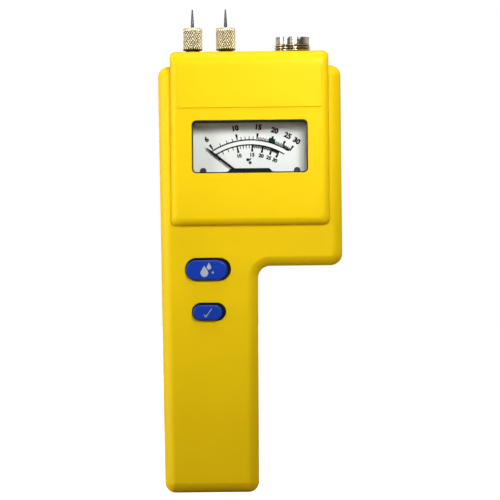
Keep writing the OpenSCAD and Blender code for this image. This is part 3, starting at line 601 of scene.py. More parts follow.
stock(moulded, "black_lead", (0.012, 0.012, 0.012), (0.35, 0.45), spread=0.15)
stock(moulded, "white_lead", (0.7, 0.68, 0.6), (0.35, 0.45))
stock(painted, "battery_jacket", (0.02, 0.02, 0.024), (0.28, 0.36))
stock(painted, "capacitor", (0.012, 0.02, 0.1), (0.3, 0.4))
stock(painted, "dial_paint", (0.96, 0.935, 0.935), (0.5, 0.6), 0.01, 0.2)
stock(painted, "pointer_paint", (0.003, 0.003, 0.005), (0.45, 0.6), 0.2, 0.1)
stock(painted, "dark_metal", (0.004, 0.003, 0.003), (0.25, 0.35), 0.2, 0.12)
stock(metal, "black_screw", (0.03, 0.03, 0.032), (0.4, 0.55))
stock(metal, "dark_screw", (0.05, 0.05, 0.055), (0.35, 0.5))
stock(metal, "steel_pin", (0.05, 0.046, 0.056), (0.28, 0.42), (1, 1, 0.08), 2600, 0.006)
stock(metal, "zinc_screw", (0.6, 0.6, 0.57), (0.3, 0.42))
stock(metal, "plated_terminal", (0.66, 0.64, 0.58), (0.22, 0.34))
stock(metal, "brass", (0.68, 0.47, 0.17), (0.25, 0.38))
# The caps' dark colour is painted shade in the knurl grooves and under the knurl.
stock(
    metal, "plated_brass", (0.97, 0.89, 0.72), (0.42, 0.5),
    depth=0.002, spread=0.03, grime=(0.06, 0.045, 0.02),
)
# The socket's dark colour is painted shade in the thread roots and below the thread.
stock(metal, "nickel", (0.66, 0.6, 0.51), (0.14, 0.24), (1, 1, 6), 700, 0.001, 0.03, (0.2, 0.15, 0.1))
stock(metal, "soft_iron", (0.42, 0.42, 0.42), (0.35, 0.5))
stock(metal, "magnet", (0.24, 0.24, 0.25), (0.4, 0.6), spread=0.15)
stock(metal, "bridge_metal", (0.7, 0.7, 0.71), (0.3, 0.42), (8, 1, 1))
stock(metal, "bronze", (0.55, 0.33, 0.14), (0.2, 0.3))
stock(wound, "copper", (0.6, 0.26, 0.12))
stock(board_green, "circuit_board")
stock(clear_cover, "clear_window")
stock(painted, "black_print", (0.003, 0.003, 0.008), (0.5, 0.65), 0.2, 0.1, group=PRINTS)
stock(painted, "green_print", (0.002, 0.05, 0.028), (0.5, 0.65), 0.04, 0.1, group=PRINTS)
stock(painted, "grey_print", (0.36, 0.38, 0.42), (0.4, 0.5), 0.08, group=PRINTS)


def dress(piece, look, body, *replaced, angle=35):
    """Shades a finished piece, gives it its material and body, and names the nodes it stands for."""
    smooth(piece, angle)
    piece.data.materials.clear()
    piece.data.materials.append(LOOKS[look])
    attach(piece, body)
    if replaced:
        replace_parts(piece, *replaced)
    return piece


def dress_print(piece, look, body):
    """Gives a thin print its print material and its body."""
    piece.data.materials.clear()
    piece.data.materials.append(PRINTS[look])
    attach(piece, body)
    return piece


# ---------------------------------------------------------------- case

def block_ring(a):
    """Outline of the raised block at a point of its sloped edge; a runs from 0 to a quarter turn."""
    t = 1 - math.sin(a)
    corners = box_corners(
        -BLOCK_X + SIDE_SLOPE * t, BLOCK_X - SIDE_SLOPE * t,
        BLOCK_LOW_Z + LOW_SLOPE * t, BLOCK_TOP_Z - TOP_SLOPE * t, BLOCK_R,
    )
    return at_depth(rounded_loop(corners), BLOCK_Y + (BASE_Y - BLOCK_Y) * (1 - math.cos(a)))


def window_corners(inset, radius, top_inset=None):
    """Corners of the window's outline, moved inwards; its top edge may move by another amount."""
    reach = WINDOW_W / 2 - inset
    low_z = WINDOW_Z - WINDOW_H / 2 + inset
    top_z = WINDOW_Z + WINDOW_H / 2 - (inset if top_inset is None else top_inset)
    return box_corners(-reach, reach, low_z, top_z, radius)


def flared(name, corners, face_y, lip, back_y, steps=6):
    """Tool for an opening whose front edge is rounded over by lip."""
    rings = [ring_at(back_y, corners)]
    for k in range(steps + 1):
        a = math.pi / 2 * k / steps
        y = face_y + lip * (1 - math.sin(a))
        rings.append(at_depth(rounded_loop(corners, -lip * (1 - math.cos(a))), y))
    rings.append(ring_at(face_y - 2, corners, -lip))
    return loft(name, rings)


def key_hole(key, grow=0.0):
    """Corners of the hole in the case for a key."""
    x, z, length, height = key
    return slot_corners(
        x + HOLE_SHIFT[0], z + HOLE_SHIFT[1], length + 2 * KEY_END_GAP, height + 2 * KEY_GAP, grow
    )


def groove_rings(corners, way):
    """Rings that bevel a shell's edge at the parting plane; way is -1 in front of it and 1 behind."""
    rings = [
        ring_at(PART_Y + way * GROOVE, corners),
        ring_at(PART_Y, corners, GROOVE),
    ]
    return rings[::-way]


def posts(spots, radius, y0, y1):
    return [rod("post", along_y(*spot), radius, y0, y1) for spot in spots]


def screw_bores(spots, radius, y0, y1):
    return [rod("bore", along_y(*spot), radius, y0, y1, 24) for spot in spots]


def front_shell():
    """Front half of the case, with its raised block, plain pad, posts and openings."""
    rolled = rolled_rings(CASE_CORNERS, BASE_Y, FRONT_FILLET, 1, 16, FILLET_POWER)
    shell = loft("front_shell", rolled + groove_rings(CASE_CORNERS, -1))
    outline = box_corners(-BLOCK_X, BLOCK_X, BLOCK_LOW_Z, BLOCK_TOP_Z, BLOCK_R)
    sloped = [block_ring(math.pi / 2 * k / 16) for k in range(17)]
    add(shell, loft("block", sloped + groove_rings(outline, -1)))
    pad = box_corners(-PAD_X, PAD_X, *PAD_Z, PAD_R)
    rolled = rolled_rings(pad, PAD_Y, 0.3, 1, 5)
    add(shell, loft("pad", rolled + [ring_at(BLOCK_Y + 0.5, pad)]))
    hollow = []
    for k in range(5):
        a = math.pi / 8 * k
        inset = WALL + INNER_ROLL * (1 - math.sin(a))
        hollow.append(ring_at(INNER_FRONT_Y + INNER_ROLL * (1 - math.cos(a)), CASE_CORNERS, inset))
    cut(shell, loft("hollow", hollow + [ring_at(PART_Y + 1, CASE_CORNERS, WALL)]))
    pocket_low = (-POCKET_X, INNER_BLOCK_Y, POCKET_LOW_Z)
    cut(shell, box("pocket", pocket_low, (POCKET_X, PART_Y + 1, TOP_INNER_Z)))
    all_posts = posts(CASE_SCREWS, CASE_POST_R, POST_ROOT_Y, PART_Y)
    all_posts += posts(BOARD_SCREWS, BOARD_POST_R, POST_ROOT_Y, BOARD_FRONT_Y)
    all_posts += posts(LUGS, LUG_R, POST_ROOT_Y, LUG_END_Y)
    add(shell, merged("posts", all_posts))
    openings = [flared("opening", window_corners(0, WINDOW_R), BLOCK_Y, 0.35, INNER_BLOCK_Y + 0.5)]
    for key in (MEASURE_KEY, CHECK_KEY):
        openings.append(flared("opening", key_hole(key), BASE_Y, 0.3, INNER_FRONT_Y + 0.5))
    for x, radius in [(x, BUSH_R + 0.05) for x in PIN_X] + [(SOCKET_X, NECK_R + 0.15)]:
        openings.append(rod("bore", along_z(x), radius, TOP_INNER_Z - 0.5, BLOCK_TOP_Z + 1))
    openings += screw_bores(CASE_SCREWS, CASE_BORE_R, CASE_BORE_END_Y, PART_Y + 0.5)
    openings += screw_bores(BOARD_SCREWS, SMALL_BORE_R, -11, BOARD_FRONT_Y + 0.5)
    openings += screw_bores(LUGS, SMALL_BORE_R, -12, LUG_END_Y + 0.5)
    cut(shell, merged("openings", openings))
    return shell


def rear_shell():
    """Rear half of the case, with the battery bay, its doorway and the screw wells."""
    bay_x0, bay_x1 = FOOT_X - BAY_W / 2, FOOT_X + BAY_W / 2
    back = list(reversed(rolled_rings(REAR_CORNERS, BACK_Y, REAR_FILLET, -1, 9)))
    shell = loft("rear_shell", groove_rings(REAR_CORNERS, 1) + back)
    inner = rounded_loop(CASE_CORNERS, WALL)
    cut(shell, loft("hollow", [at_depth(inner, PART_Y - 1), at_depth(inner, INNER_BACK_Y)]))
    pocket_low = (-POCKET_X, PART_Y - 1, POCKET_LOW_Z)
    cut(shell, box("pocket", pocket_low, (POCKET_X, INNER_BACK_Y, TOP_INNER_Z)))
    add(shell, box(
        "bay",
        (bay_x0 - BAY_WALL, BAY_Y - BAY_WALL, BAY_Z[0] - BAY_WALL),
        (bay_x1 + BAY_WALL, REAR_POST_END_Y, BAY_Z[1] + BAY_WALL),
    ))
    add(shell, merged("posts", posts(CASE_SCREWS, REAR_POST_R, PART_Y, REAR_POST_END_Y)))
    cut(shell, box("bay_room", (bay_x0, BAY_Y, BAY_Z[0]), (bay_x1, INNER_BACK_Y, BAY_Z[1])))
    low_z = DOOR_AXIS[1] - (BACK_Y - DOOR_AXIS[0]) - DOOR_GAP
    doorway = box_corners(bay_x0, bay_x1, low_z, DOOR_TOP_Z + DOOR_GAP, 0.4)
    rings = [
        ring_at(y, doorway, inset, 4)
        for inset, y in ((0, INNER_BACK_Y - 1), (0, BACK_Y - 0.25), (-0.25, BACK_Y), (-0.25, BACK_Y + 1))
    ]
    cut(shell, loft("doorway", rings))
    lead_hole = along_z(FOOT_X, LEAD_HOLE_Y)
    bores = [rod("bore", lead_hole, LEAD_HOLE_R, BAY_Z[1] - 1, BAY_Z[1] + BAY_WALL + 1, 32)]
    bores.append(rod("bore", along_x(*DOOR_AXIS), 0.5, bay_x0 - BAY_WALL, bay_x1 + BAY_WALL, 24))
    well = [
        (1.7, PART_Y - 1), (1.7, SCREW_SEAT_Y), (3, SCREW_SEAT_Y), (3, BACK_Y - 0.35),
        (3.35, BACK_Y), (3.35, BACK_Y + 1),
    ]
    bores += [lathe("bore", well, along_y(*spot), 48) for spot in CASE_SCREWS]
    cut(shell, merged("bores", bores))
    return shell


def case_screws():
    """Pan-head screws with a cross recess, sunk in the back of the case."""
    profile = [(0, -2), (1.5, -2), (1.5, SCREW_SEAT_Y)]
    for radius, rise in ((2.8, 0), (2.8, 0.9), (2.62, 1.3), (2.15, 1.6), (1.3, 1.77), (0, 1.8)):
        profile.append((radius, SCREW_SEAT_Y + rise))
    screws = merged("case_screw_set", [lathe("screw", profile, along_y(*spot), 48) for spot in CASE_SCREWS])
    floor_y, above_y = SCREW_SEAT_Y + 0.7, SCREW_SEAT_Y + 3
    for half_x, half_z in ((1.65, 0.36), (0.36, 1.65)):
        cut(screws, merged("recess", [
            box("slot", (x - half_x, floor_y, z - half_z), (x + half_x, above_y, z + half_z))
            for x, z in CASE_SCREWS
        ]))
    return screws


def door_panel():
    """Battery door: a panel with a hinge barrel along its lower edge and a ribbed thumb grip."""
    x0, x1 = FOOT_X - BAY_W / 2 + DOOR_GAP, FOOT_X + BAY_W / 2 - DOOR_GAP
    axis_y, axis_z = DOOR_AXIS
    barrel_r = BACK_Y - axis_y
    inner_y = axis_y - barrel_r
    outline = box_corners(x0, x1, axis_z, DOOR_TOP_Z, 0.4)
    rings = [ring_at(inner_y, outline, 0, 4)]
    for k in range(5):
        a = math.pi / 2 * k / 4
        inset = 0.3 * (1 - math.cos(a))
        rings.append(at_depth(rounded_loop(outline, inset, 4), BACK_Y - 0.3 * (1 - math.sin(a))))
    door = loft("door_panel", rings)
    add(door, rod("barrel", along_x(axis_y, axis_z), barrel_r, x0, x1, 48))
    cut(door, rod("bore", along_x(axis_y, axis_z), 0.55, x0 - 1, x1 + 1, 24))
    ribs = []
    for i in range(DOOR_RIBS):
        z = DOOR_TOP_Z - 4.2 - 1.5 * i
        half = 7.5 - 0.9 * i
        ribs.append(rod("rib", along_x(BACK_Y + 0.35, z), 0.62, FOOT_X - half, FOOT_X + half, 20))
    cut(door, merged("ribs", ribs))
    return door


dress(front_shell(), "case_plastic", "case", "front_case", angle=30)
dress(rear_shell(), "case_plastic", "case", "rear_case", angle=30)
dress(case_screws(), "black_screw", "case", "case_screws")
dress(door_panel(), "case_plastic", "door", "battery_door", angle=30)


# ---------------------------------------------------------------- buttons

def key_face(key, grow=0.0):
    """Corners of a key's face, which sits low and left in its hole."""
    x, z, length, height = key
    left, down = KEY_SHIFT
    return slot_corners(x - left, z - down, length - 2 * left, height - 2 * down, grow)


def key_cap(name, key):
    """Push key: rounded top, retaining lip behind the wall and a stem."""
    x, z, length, height = key
    outline = key_face(key)
    lip = slot_corners(x, z, length + 3.1, height + 2.6)
    rings = rolled_rings(outline, KEY_FACE_Y, 0.9, 1, 8)
    rings += [ring_at(KEY_LIP_Y, outline)]
    rings += [ring_at(y, lip) for y in (KEY_LIP_Y, KEY_LIP_Y + 0.85)]
    cap = loft(name, rings)
    add(cap, rod("stem", along_y(x, z), 2, KEY_LIP_Y + 0.5, STEM_END_Y))
    return cap


def key_gasket(name, key):
    """Black sleeve in the gap between a key and its hole: painted shade that keeps the gap dark."""
    outer, inner = rounded_loop(key_hole(key, 0.12)), rounded_loop(key_face(key, 0.1))
    rings = [at_depth(outer, INNER_FRONT_Y), at_depth(outer, BASE_Y + 0.6)]
    rings += [at_depth(inner, BASE_Y + 0.7), at_depth(inner, INNER_FRONT_Y)]
    return loft(name, rings, loop=True)


def drop_outline(x, z, radius, tall, steps=20):
    """Drop of the given radius about x and z, with its point tall above its lowest edge."""
    reach = tall - radius
    lean = math.acos(radius / reach)
    arc = [math.pi / 2 + lean + (2 * math.pi - 2 * lean) * k / steps for k in range(steps + 1)]
    bowl = [Vector((x + radius * math.cos(a), z + radius * math.sin(a))) for a in arc]
    return bowl + [Vector((x, z + reach))]


def stroke(a, b, w0, w1):
    """Outline of a straight stroke from a to b that changes width from w0 to w1."""
    a, b = Vector(a), Vector(b)
    n = (b - a).normalized()
    n = Vector((-n.y, n.x)) / 2
    return [a - n * w0, b - n * w1, b + n * w1, a + n * w0]


def key_print(name, outlines):
    """Symbol printed on a key's face."""
    return merged(name, [plate("mark", o, KEY_FACE_Y - 0.02, KEY_FACE_Y + 0.05) for o in outlines])


dress(key_cap("measure_key_cap", MEASURE_KEY), "blue_plastic", "measure_key", "measure_button")
dress(key_cap("check_key_cap", CHECK_KEY), "blue_plastic", "check_key", "check_button")
# Black sleeves in the key gaps: painted shade that keeps the gaps dark.
dress(key_gasket("measure_shade_sleeve", MEASURE_KEY), "black_plastic", "case")
dress(key_gasket("check_shade_sleeve", CHECK_KEY), "black_plastic", "case")
drops = [
    drop_outline(-20.5, 96.2, 1.7, 4.9),
    drop_outline(-18.45, 98.65, 0.97, 3.1),
    drop_outline(-16.75, 96.35, 0.42, 1.1),
]
dress_print(key_print("measure_symbol", drops), "grey_print", "measure_key")
tick_mark = [
    stroke((-20.75, 78.0), (-20.1, 76.8), 0.45, 0.4),
    stroke((-20.25, 76.75), (-17.35, 80.7), 0.45, 0.2),
]
dress_print(key_print("check_symbol", tick_mark), "grey_print", "check_key")


# ---------------------------------------------------------------- panel meter

def window_cover():
    """Clear cover: a raised pane with rounded edges on a flange that closes the meter."""
    low, high = span("meter_window")
    skin, rim, fit = 1.4, 1.0, 0.45
    pane = window_corners(fit, 1.9)
    rolled = rolled_rings(pane, low.y, 0.45, 1, 5)
    cover = loft("window_cover", rolled + [ring_at(INNER_BLOCK_Y + 0.2, pane)])
    add(cover, box("flange", (low.x, INNER_BLOCK_Y, low.z), high))
    step = window_corners(fit + rim, 1)
    recess = [(0.3, low.y + 1.0), (0, low.y + 1.25), (0, low.y + 3.15)]
    cut(cover, loft("recess", [ring_at(y, step, inset) for inset, y in recess]))
    cut(cover, box(
        "room",
        (low.x + skin, INNER_BLOCK_Y + skin, low.z + skin),
        (high.x - skin, high.y + 1, high.z - skin),
    ))
    return cover


def window_gasket():
    """Black ring between the pane and the edge of its opening, heavier along the top: painted shade for the
    dark shadow gap round the window.
    """
    outer, inner = window_corners(0, WINDOW_R), window_corners(0.55, 1.6, 1.15)
    back_y = INNER_BLOCK_Y - 0.05
    section = [(outer, back_y), (outer, BLOCK_Y + 0.35), (inner, BLOCK_Y + 0.45), (inner, back_y)]
    return loft("window_gasket", [ring_at(y, corners) for corners, y in section], loop=True)


def polar(r, degrees):
    """Point on the dial at radius r from the centre of the scale arcs, degrees right of straight up."""
    a = math.radians(degrees)
    return Vector((r * math.sin(a), SCALE_Z + r * math.cos(a)))


def arc_band(name, r0, r1, a0, a1, steps=60):
    """Printed band between two radii of the scale."""
    faces = []
    points = []
    for k in range(steps + 1):
        a = a0 + (a1 - a0) * k / steps
        for y in PRINT_Y:
            points += [(p.x, y, p.y) for p in (polar(r0, a), polar(r1, a))]
    for k in range(steps):
        i, j = 4 * k, 4 * k + 4
        faces += [(i, i + 1, j + 1, j), (i + 2, j + 2, j + 3, i + 3)]
        faces += [(i, j, j + 2, i + 2), (i + 1, i + 3, j + 3, j + 1)]
    end = 4 * steps
    faces += [(0, 2, 3, 1), (end, end + 1, end + 3, end + 2)]
    return make(name, points, faces)


def figure(text, spot, height, tilt):
    """Number printed on the dial, as a thin mesh."""
    curve = bpy.data.curves.new("figure", "FONT")
    curve.body = text
    curve.align_x = "CENTER"
    curve.align_y = "CENTER"
    curve.size = height / 0.7
    curve.offset = 0.085 * height
    curve.extrude = (PRINT_Y[1] - PRINT_Y[0]) / 2
    holder = new_object("figure", curve)
    bpy.context.view_layer.update()
    mesh = bpy.data.meshes.new_from_object(holder.evaluated_get(bpy.context.evaluated_depsgraph_get()))
    bpy.data.objects.remove(holder)
    bpy.data.curves.remove(curve)
    place = Matrix.Translation((spot.x, sum(PRINT_Y) / 2, spot.y))
    lean = Matrix.Rotation(math.radians(tilt), 4, "Y")
    mesh.transform(Matrix.Scale(MM, 4) @ place @ lean @ Matrix.Rotation(math.pi / 2, 4, "X"))
    return new_object("figure", mesh)


def pointer_blade():
    """Pointer with a hub and a balancing tail, drawn at the angle it rests at."""
    low, high = span("pointer")
    lean = math.radians(POINTER_REST)
    half = [(0.5, -6.2), (0.5, 0), (0.46, 20), (0.3, 23.6), (0.1, 24.2)]
    outline = [Vector(p) for p in half] + [Vector((-u, v)) for u, v in reversed(half)]
    shift = Vector((0, PIVOT_Z))
    blade = plate("pointer_blade", [shift + turned(p, lean) for p in outline], low.y, high.y)
    add(blade, rod("hub", along_y(0, PIVOT_Z), 1.4, low.y, high.y, 32))
    tail = [Vector(p) for p in ((-1.3, -6.2), (1.3, -6.2), (1.3, -4.6), (-1.3, -4.6))]
    add(blade, plate("tail", [shift + turned(p, lean) for p in tail], low.y, high.y))
    cut(blade, rod("staff", along_y(0, PIVOT_Z), 0.45, low.y - 1, high.y + 1, 24))
    return blade


def scale_angle(scale, value):
    """Angle of a value, read between its neighbours on the scale."""
    below = max(v for v in scale if v <= value)
    above = min(v for v in scale if v >= value)
    if above == below:
        return scale[value]
    return scale[below] + (scale[above] - scale[below]) * (value - below) / (above - below)


def scale_marks(scale, r_line, way):
    """Ticks of one scale; way is 1 where they stand outside their line and -1 where they hang inside."""
    marks = []
    values = list(range(6, 15)) + [15 + 0.5 * k for k in range(31)]
    for value in values:
        a = scale_angle(scale, value)
        major = value in MAJOR_MARKS
        reach = 3.0 if major else 1.5 if value == int(value) else 1.15
        width = 0.5 if major else 0.36
        tip = 1.0 if major else width
        start = r_line + way * (0.45 if major and way > 0 else 0.0)
        marks.append(stroke(polar(start, a), polar(r_line + way * reach, a), width, tip))
    return marks


outlines = scale_marks(OUTER_SCALE, OUTER_R, 1) + scale_marks(INNER_SCALE, INNER_R, -1)
lines = [plate("tick", outline, *PRINT_Y) for outline in outlines]
lines += [arc_band("line", r - 0.29, r + 0.29, -a, a) for r, a in ((OUTER_R, 32.9), (INNER_R, 31.6))]
dress_print(merged("dial_lines", lines), "black_print", "case")
figures = []
for value in MAJOR_MARKS:
    a = OUTER_SCALE[value]
    figures.append(figure(str(value), polar(36.4, a), 2.15, a))
    if value > MAJOR_MARKS[0]:
        figures.append(figure(str(value), polar(24.2, INNER_SCALE[value]), 1.5, INNER_SCALE[value]))
figures.append(figure("%", Vector((-0.5, 144.9)), 2.2, 0))
dress_print(merged("dial_figures", figures), "black_print", "case")
zone = arc_band("dial_zone", OUTER_R + 0.2, OUTER_R + 2.1, 15.2, 20.1, 12)
dress_print(zone, "green_print", "case")
dress(window_cover(), "clear_window", "case", "meter_window")
# Black ring round the pane: painted shade for the dark gap round the window.
dress(window_gasket(), "black_plastic", "case")
dress(pointer_blade(), "pointer_paint", "needle", "pointer")


# ---------------------------------------------------------------- pins and caps

def worn(piece, x, z0, z1, root, depth):
    """Marks painted shade on a turned piece: 0, shaded, in its grooves and below z0; 1 on its crests and
    above z1.
    """
    painted_shade_mask = piece.data.attributes.new("painted_shade_mask", "FLOAT", "POINT")
    for vertex, value in zip(piece.data.vertices, painted_shade_mask.data):
        spot = vertex.co / MM
        crest = (math.hypot(spot.x - x, spot.y - TERMINAL_Y) - root) / depth
        value.value = 1.0 if spot.z > z1 else 0.0 if spot.z < z0 else min(1.0, max(0.0, crest))


def knurled_cap(name, x, node):
    """Retaining cap with a pointed diamond knurl; two columns of points make one diamond."""
    low, high = span(node)
    outer = (high.x - low.x) / 2
    rows, depth = KNURL_ROWS, KNURL_DEPTH
    columns = 2 * KNURL_CELLS
    crown = 0.5
    knurl_low, knurl_high = low.z + 0.3, high.z - crown
    root = outer - depth
    rings = [[CAP_BORE_R] * columns, [root - 0.6] * columns]
    heights = [low.z, low.z]
    for j in range(rows + 1):
        rings.append([outer if (i + j) % 2 else root for i in range(columns)])
        heights.append(knurl_low + (knurl_high - knurl_low) * j / rows)
    for k in range(1, 6):
        a = math.pi / 2 * k / 5
        rings.append([root - crown * (1 - math.cos(a))] * columns)
        heights.append(knurl_high + crown * math.sin(a))
    roof = high.z - 1.65
    for radius, height in ((1.1, high.z), (0.85, high.z - 0.25), (0.85, roof), (CAP_BORE_R, roof)):
        rings.append([radius] * columns)
        heights.append(height)
    points = []
    for ring, z in zip(rings, heights):
        for i, r in enumerate(ring):
            a = 2 * math.pi * (i - 0.5) / columns
            points.append((x + r * math.cos(a), TERMINAL_Y + r * math.sin(a), z))
    faces = []
    count = len(rings)
    for j in range(count):
        for i in range(columns):
            a, b = j * columns + i, j * columns + (i + 1) % columns
            c, d = (j + 1) % count * columns + (i + 1) % columns, (j + 1) % count * columns + i
            knurled = 2 <= j < 2 + rows
            if not knurled:
                faces.append((a, b, c, d))
            elif (i + j) % 2 == 0:
                faces += [(a, b, c), (a, c, d)]
            else:
                faces += [(a, b, d), (b, c, d)]
    cap = make(name, points, faces)
    # Painted shade: dark in the knurl's grooves and on the cap below the knurl.
    worn(cap, x, knurl_low + 0.05, knurl_high - 0.1, root - 0.06, depth)
    return cap


def needle(name, x, node):
    """Contact pin: round shoulder, straight shank and a long taper to a blunt point."""
    low, high = span(node)
    taper = high.z - 7.9
    shoulder = low.z + 1.0
    profile = [
        (0, low.z), (2.0, low.z), (2.2, low.z + 0.2), (2.2, shoulder - 0.2), (2.0, shoulder),
        (0.75, shoulder), (0.75, taper), (0.72, taper + 0.6), (0.57, taper + 3.6),
        (0.36, high.z - 1.2), (0.27, high.z - 0.3), (0.18, high.z - 0.06), (0, high.z),
    ]
    return lathe(name, profile, along_z(x), 32)


def thread(root, crest, pitch, z0, z1, rows_per_turn=14):
    """Stations of a screw thread from z0 up to z1 for a lathe, running out at both ends."""
    def radius(a, z):
        phase = (z / pitch - a / (2 * math.pi)) % 1
        ridge = min(1.0, 1.25 * (1 - abs(2 * phase - 1)))
        fade = min(1.0, max(0.0, (z - z0) / (0.4 * pitch)), max(0.0, (z1 - z) / (0.4 * pitch)))
        return root + (crest - root) * ridge * fade
    count = round((z1 - z0) / pitch * rows_per_turn)
    return [(radius, z0 + (z1 - z0) * k / count) for k in range(count + 1)]


def stud(x):
    """Brass stud with its thread where the cap screws on."""
    low, high = span("pin_studs")
    root = 2.12
    profile = [(0, low.z), (2.2, low.z), (STUD_R, low.z + 0.2), (STUD_R, BLOCK_TOP_Z + 0.7)]
    profile.append((root, BLOCK_TOP_Z + 0.8))
    profile += thread(root, STUD_R, STUD_PITCH, BLOCK_TOP_Z + 0.9, high.z - 0.3)
    profile += [(2.0, high.z - 0.12), (1.85, high.z), (0, high.z)]
    return lathe("stud", profile, along_z(x), 48)


def bush(x):
    """Black insulating bush with a rounded lip on the case."""
    profile = [
        (2.42, TOP_INNER_Z), (BUSH_R, TOP_INNER_Z), (BUSH_R, BLOCK_TOP_Z), (3.35, BLOCK_TOP_Z),
        (3.35, BLOCK_TOP_Z + 0.55), (3.15, BLOCK_TOP_Z + 0.75), (2.42, BLOCK_TOP_Z + 0.75),
    ]
    return lathe("bush", profile, along_z(x), 48, loop=True)


for side, x in zip(("left", "right"), PIN_X):
    cap_node, pin_node = side + "_pin_cap", side + "_pin"
    cap = knurled_cap(side + "_cap_knurled", x, cap_node)
    dress(cap, "plated_brass", side + "_cap", cap_node, angle=8)
    dress(needle(side + "_needle", x, pin_node), "steel_pin", side + "_needle_pin", pin_node)
dress(merged("threaded_studs", [stud(x) for x in PIN_X]), "brass", "case", "pin_studs", angle=50)
dress(merged("stud_bushes", [bush(x) for x in PIN_X]), "black_plastic", "case", "pin_insulators")


# ---------------------------------------------------------------- probe socket

def socket_ring():
    """Threaded socket shell with a notched rim, and the square flange that holds it inside."""
    low, high = span("socket_shell")
    bore, rim, body = SOCKET_BORE_R, SOCKET_RIM_R, SOCKET_BODY_R
    thread_z0, thread_z1 = BLOCK_TOP_Z + 0.3, BLOCK_TOP_Z + 3.3
    turns = thread(THREAD_R - 0.7, THREAD_R, THREAD_PITCH, thread_z0, thread_z1)
    profile = [(bore, low.z), (body, low.z), (body, TOP_INNER_Z), (NECK_R, TOP_INNER_Z)]
    profile.append((NECK_R, thread_z0 - 0.05))
    profile += turns
    profile += [(rim - 0.15, thread_z1 + 0.08), (rim, thread_z1 + 0.25), (rim, high.z - 0.2)]
    profile += [(rim - 0.2, high.z), (bore + 0.3, high.z), (bore, high.z - 0.3)]
    shell = lathe("socket_ring", profile, along_z(SOCKET_X), 96, loop=True)
    notches = []
    for i in range(NOTCHES):
        angle = math.radians(NOTCH_PHASE + 360 * i / NOTCHES)
        place = Matrix.Translation((SOCKET_X, TERMINAL_Y, 0)) @ Matrix.Rotation(angle, 4, "Z")
        section = [(-0.98, high.z + 0.05), (0, high.z - 1.5), (0.98, high.z + 0.05)]
        notches.append(loft("notch", [[place @ Vector((r, y, z)) for y, z in section] for r in (5, 9)]))
    cut(shell, merged("notches", notches))
    flange = box(
        "flange",
        (SOCKET_X - FLANGE_HALF, TERMINAL_Y - FLANGE_HALF, TOP_INNER_Z - FLANGE_T),
        (SOCKET_X + FLANGE_HALF, TERMINAL_Y + FLANGE_HALF, TOP_INNER_Z),
    )
    cut(flange, rod("bore", along_z(SOCKET_X), 6.6, TOP_INNER_Z - 3, TOP_INNER_Z + 1))
    ring = merged("socket_ring", [shell, flange])
    # Painted shade: dark in the thread roots and on the shell below the thread.
    worn(ring, SOCKET_X, thread_z0 - 0.1, thread_z1, THREAD_R - 0.55, 0.5)
    return ring


dress(socket_ring(), "nickel", "case", "socket_shell", angle=32)


# ---------------------------------------------------------------- battery

def battery_can():
    """Block battery: jacket with rolled metal edges at both ends."""
    low, high = span("battery")
    corners = box_corners(low.x, high.x, low.y, high.y, 1.6)
    edge = [(0.5, 0), (0.12, 0.12), (0, 0.5), (0, 1.1), (0.18, 1.35)]
    stations = [(inset, low.z + up) for inset, up in edge]
    stations += [(inset, high.z - up) for inset, up in reversed(edge)]
    rings = [[(p[0], p[1], z) for p in rounded_loop(corners, inset, 6)] for inset, z in stations]
    return loft("battery_can", rings)


dress(battery_can(), "battery_jacket", "case", "battery")


# ---------------------------------------------------------------- CAD nodes that stay

made = {name for piece in bpy.data.objects for name in piece.get("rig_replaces", [])}
for part in frame["record"]["subparts"]:
    node = frame["nodes"][part["node"]]
    if part["node"] not in made:
        node.data.materials.clear()
        node.data.materials.append(LOOKS[part["material_slot"]])


# ---------------------------------------------------------------- stage

def stage_floor():
    """Pale floor: the camera sees it near white, and the object gets only a little light back from it."""
    reach = 4000
    corners = [(-reach, -reach), (reach, -reach), (reach, reach), (-reach, reach)]
    floor = make("floor", [(x, y, -0.1) for x, y in corners], [(0, 1, 2, 3)])
    material, tree, shader = nodes_of("floor_paint")
    feed(tree, noise(tree, 6, 2), [(0.3, 0.5), (0.7, 0.52)], shader.inputs["Base Color"])
    shader.inputs["Roughness"].default_value = 0.9
    shader.inputs["Emission Color"].default_value = (1, 1, 1, 1)
    shader.inputs["Emission Strength"].default_value = 1.0
    dim = tree.nodes.new("ShaderNodeBsdfDiffuse")
    dim.inputs["Color"].default_value = (0.45, 0.41, 0.36, 1)
    path = tree.nodes.new("ShaderNodeLightPath")
    mix = tree.nodes.new("ShaderNodeMixShader")
    tree.links.new(path.outputs["Is Camera Ray"], mix.inputs["Fac"])
    tree.links.new(dim.outputs["BSDF"], mix.inputs[1])
    tree.links.new(shader.outputs["BSDF"], mix.inputs[2])
    tree.links.new(mix.outputs["Shader"], tree.nodes["Material Output"].inputs["Surface"])
    floor.data.materials.append(material)


def softbox(name, spot, aim, size, power, spread=180, tint=(1, 1, 1)):
    """Soft lamp at spot, in metres, that the camera itself doesn't see."""
    lamp = bpy.data.lights.new(name, "AREA")
    lamp.shape = "RECTANGLE"
    lamp.size, lamp.size_y = size
    lamp.energy = power
    lamp.color = tint
    lamp.spread = math.radians(spread)
    holder = new_object(name, lamp)
    holder.location = spot
    holder.rotation_euler = (Vector(aim) - Vector(spot)).to_track_quat("-Z", "Y").to_euler()
    holder.visible_camera = False


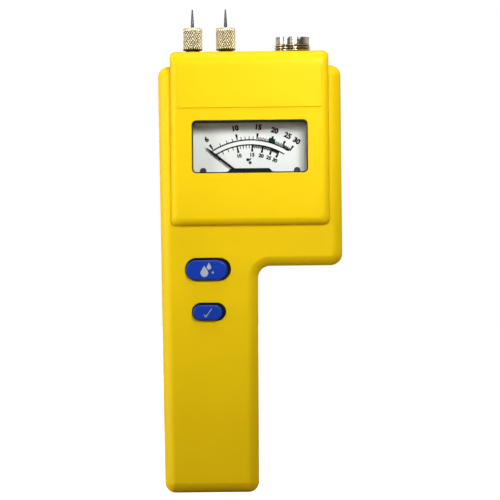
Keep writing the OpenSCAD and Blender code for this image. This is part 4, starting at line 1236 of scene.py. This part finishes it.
def studio_world():
    """White behind the object as the camera sees it, and a dimmer room for the light itself."""
    world = bpy.data.worlds.new("studio")
    bpy.context.scene.world = world
    world.use_nodes = True
    tree = world.node_tree
    room = tree.nodes["Background"]
    where = tree.nodes.new("ShaderNodeTexCoord")
    split = tree.nodes.new("ShaderNodeSeparateXYZ")
    tree.links.new(where.outputs["Generated"], split.inputs["Vector"])
    spread = tree.nodes.new("ShaderNodeMapRange")
    spread.inputs["From Min"].default_value = -0.3
    spread.inputs["From Max"].default_value = 0.5
    spread.inputs["To Min"].default_value = 0.08
    spread.inputs["To Max"].default_value = 0.7
    tree.links.new(split.outputs["Y"], spread.inputs["Value"])
    tree.links.new(spread.outputs["Result"], room.inputs["Strength"])
    room.inputs["Color"].default_value = (1, 0.93, 0.82, 1)
    paper = tree.nodes.new("ShaderNodeBackground")
    paper.inputs["Strength"].default_value = 1.0
    path = tree.nodes.new("ShaderNodeLightPath")
    mix = tree.nodes.new("ShaderNodeMixShader")
    tree.links.new(path.outputs["Is Camera Ray"], mix.inputs["Fac"])
    tree.links.new(room.outputs["Background"], mix.inputs[1])
    tree.links.new(paper.outputs["Background"], mix.inputs[2])
    paper.inputs["Color"].default_value = (1, 1, 1, 1)
    tree.links.new(mix.outputs["Shader"], tree.nodes["World Output"].inputs["Surface"])


def camera():
    """Straight view of the dial side; the meter leans a little left in the picture."""
    width, lens, sensor = 220.0, 300.0, 36.0
    middle = Vector((-0.44, -5.0, 106.04))
    lean = math.radians(0.6)
    lens_data = bpy.data.cameras.new("camera")
    lens_data.lens = lens
    lens_data.sensor_width = sensor
    lens_data.clip_start, lens_data.clip_end = 0.01, 20
    view = new_object("camera", lens_data)
    away = middle - Vector((0, width * lens / sensor, 0))
    turn = Matrix.Rotation(lean, 4, "Y") @ Matrix.Rotation(math.pi / 2, 4, "X")
    view.matrix_world = Matrix.Translation(away * MM) @ turn
    bpy.context.scene.camera = view


stage_floor()
studio_world()
softbox("key_left", (-0.46, -0.43, 0.27), HEAD, (0.14, 0.14), 0.21, 75, COOL)
softbox("rim_left", (-0.62, -0.09, 0.12), (-0.03, 0, 0.11), (0.1, 0.6), 3.1, 180, COOL)
softbox("top_front", (0.09, -0.28, 0.27), HEAD, (0.11, 0.09), 0.19, 80, COOL)
softbox("top_rim", (0.03, -0.14, 0.62), HEAD, (0.3, 0.12), 0.26, 90, COOL)
softbox("strip_left", (-0.34, -1.9, 0.15), HEAD, (0.26, 0.8), 0.8)
softbox("strip_right", (0.34, -1.9, 0.15), HEAD, (0.26, 0.8), 0.8)
camera()
bpy.context.scene.view_settings.view_transform = "Standard"
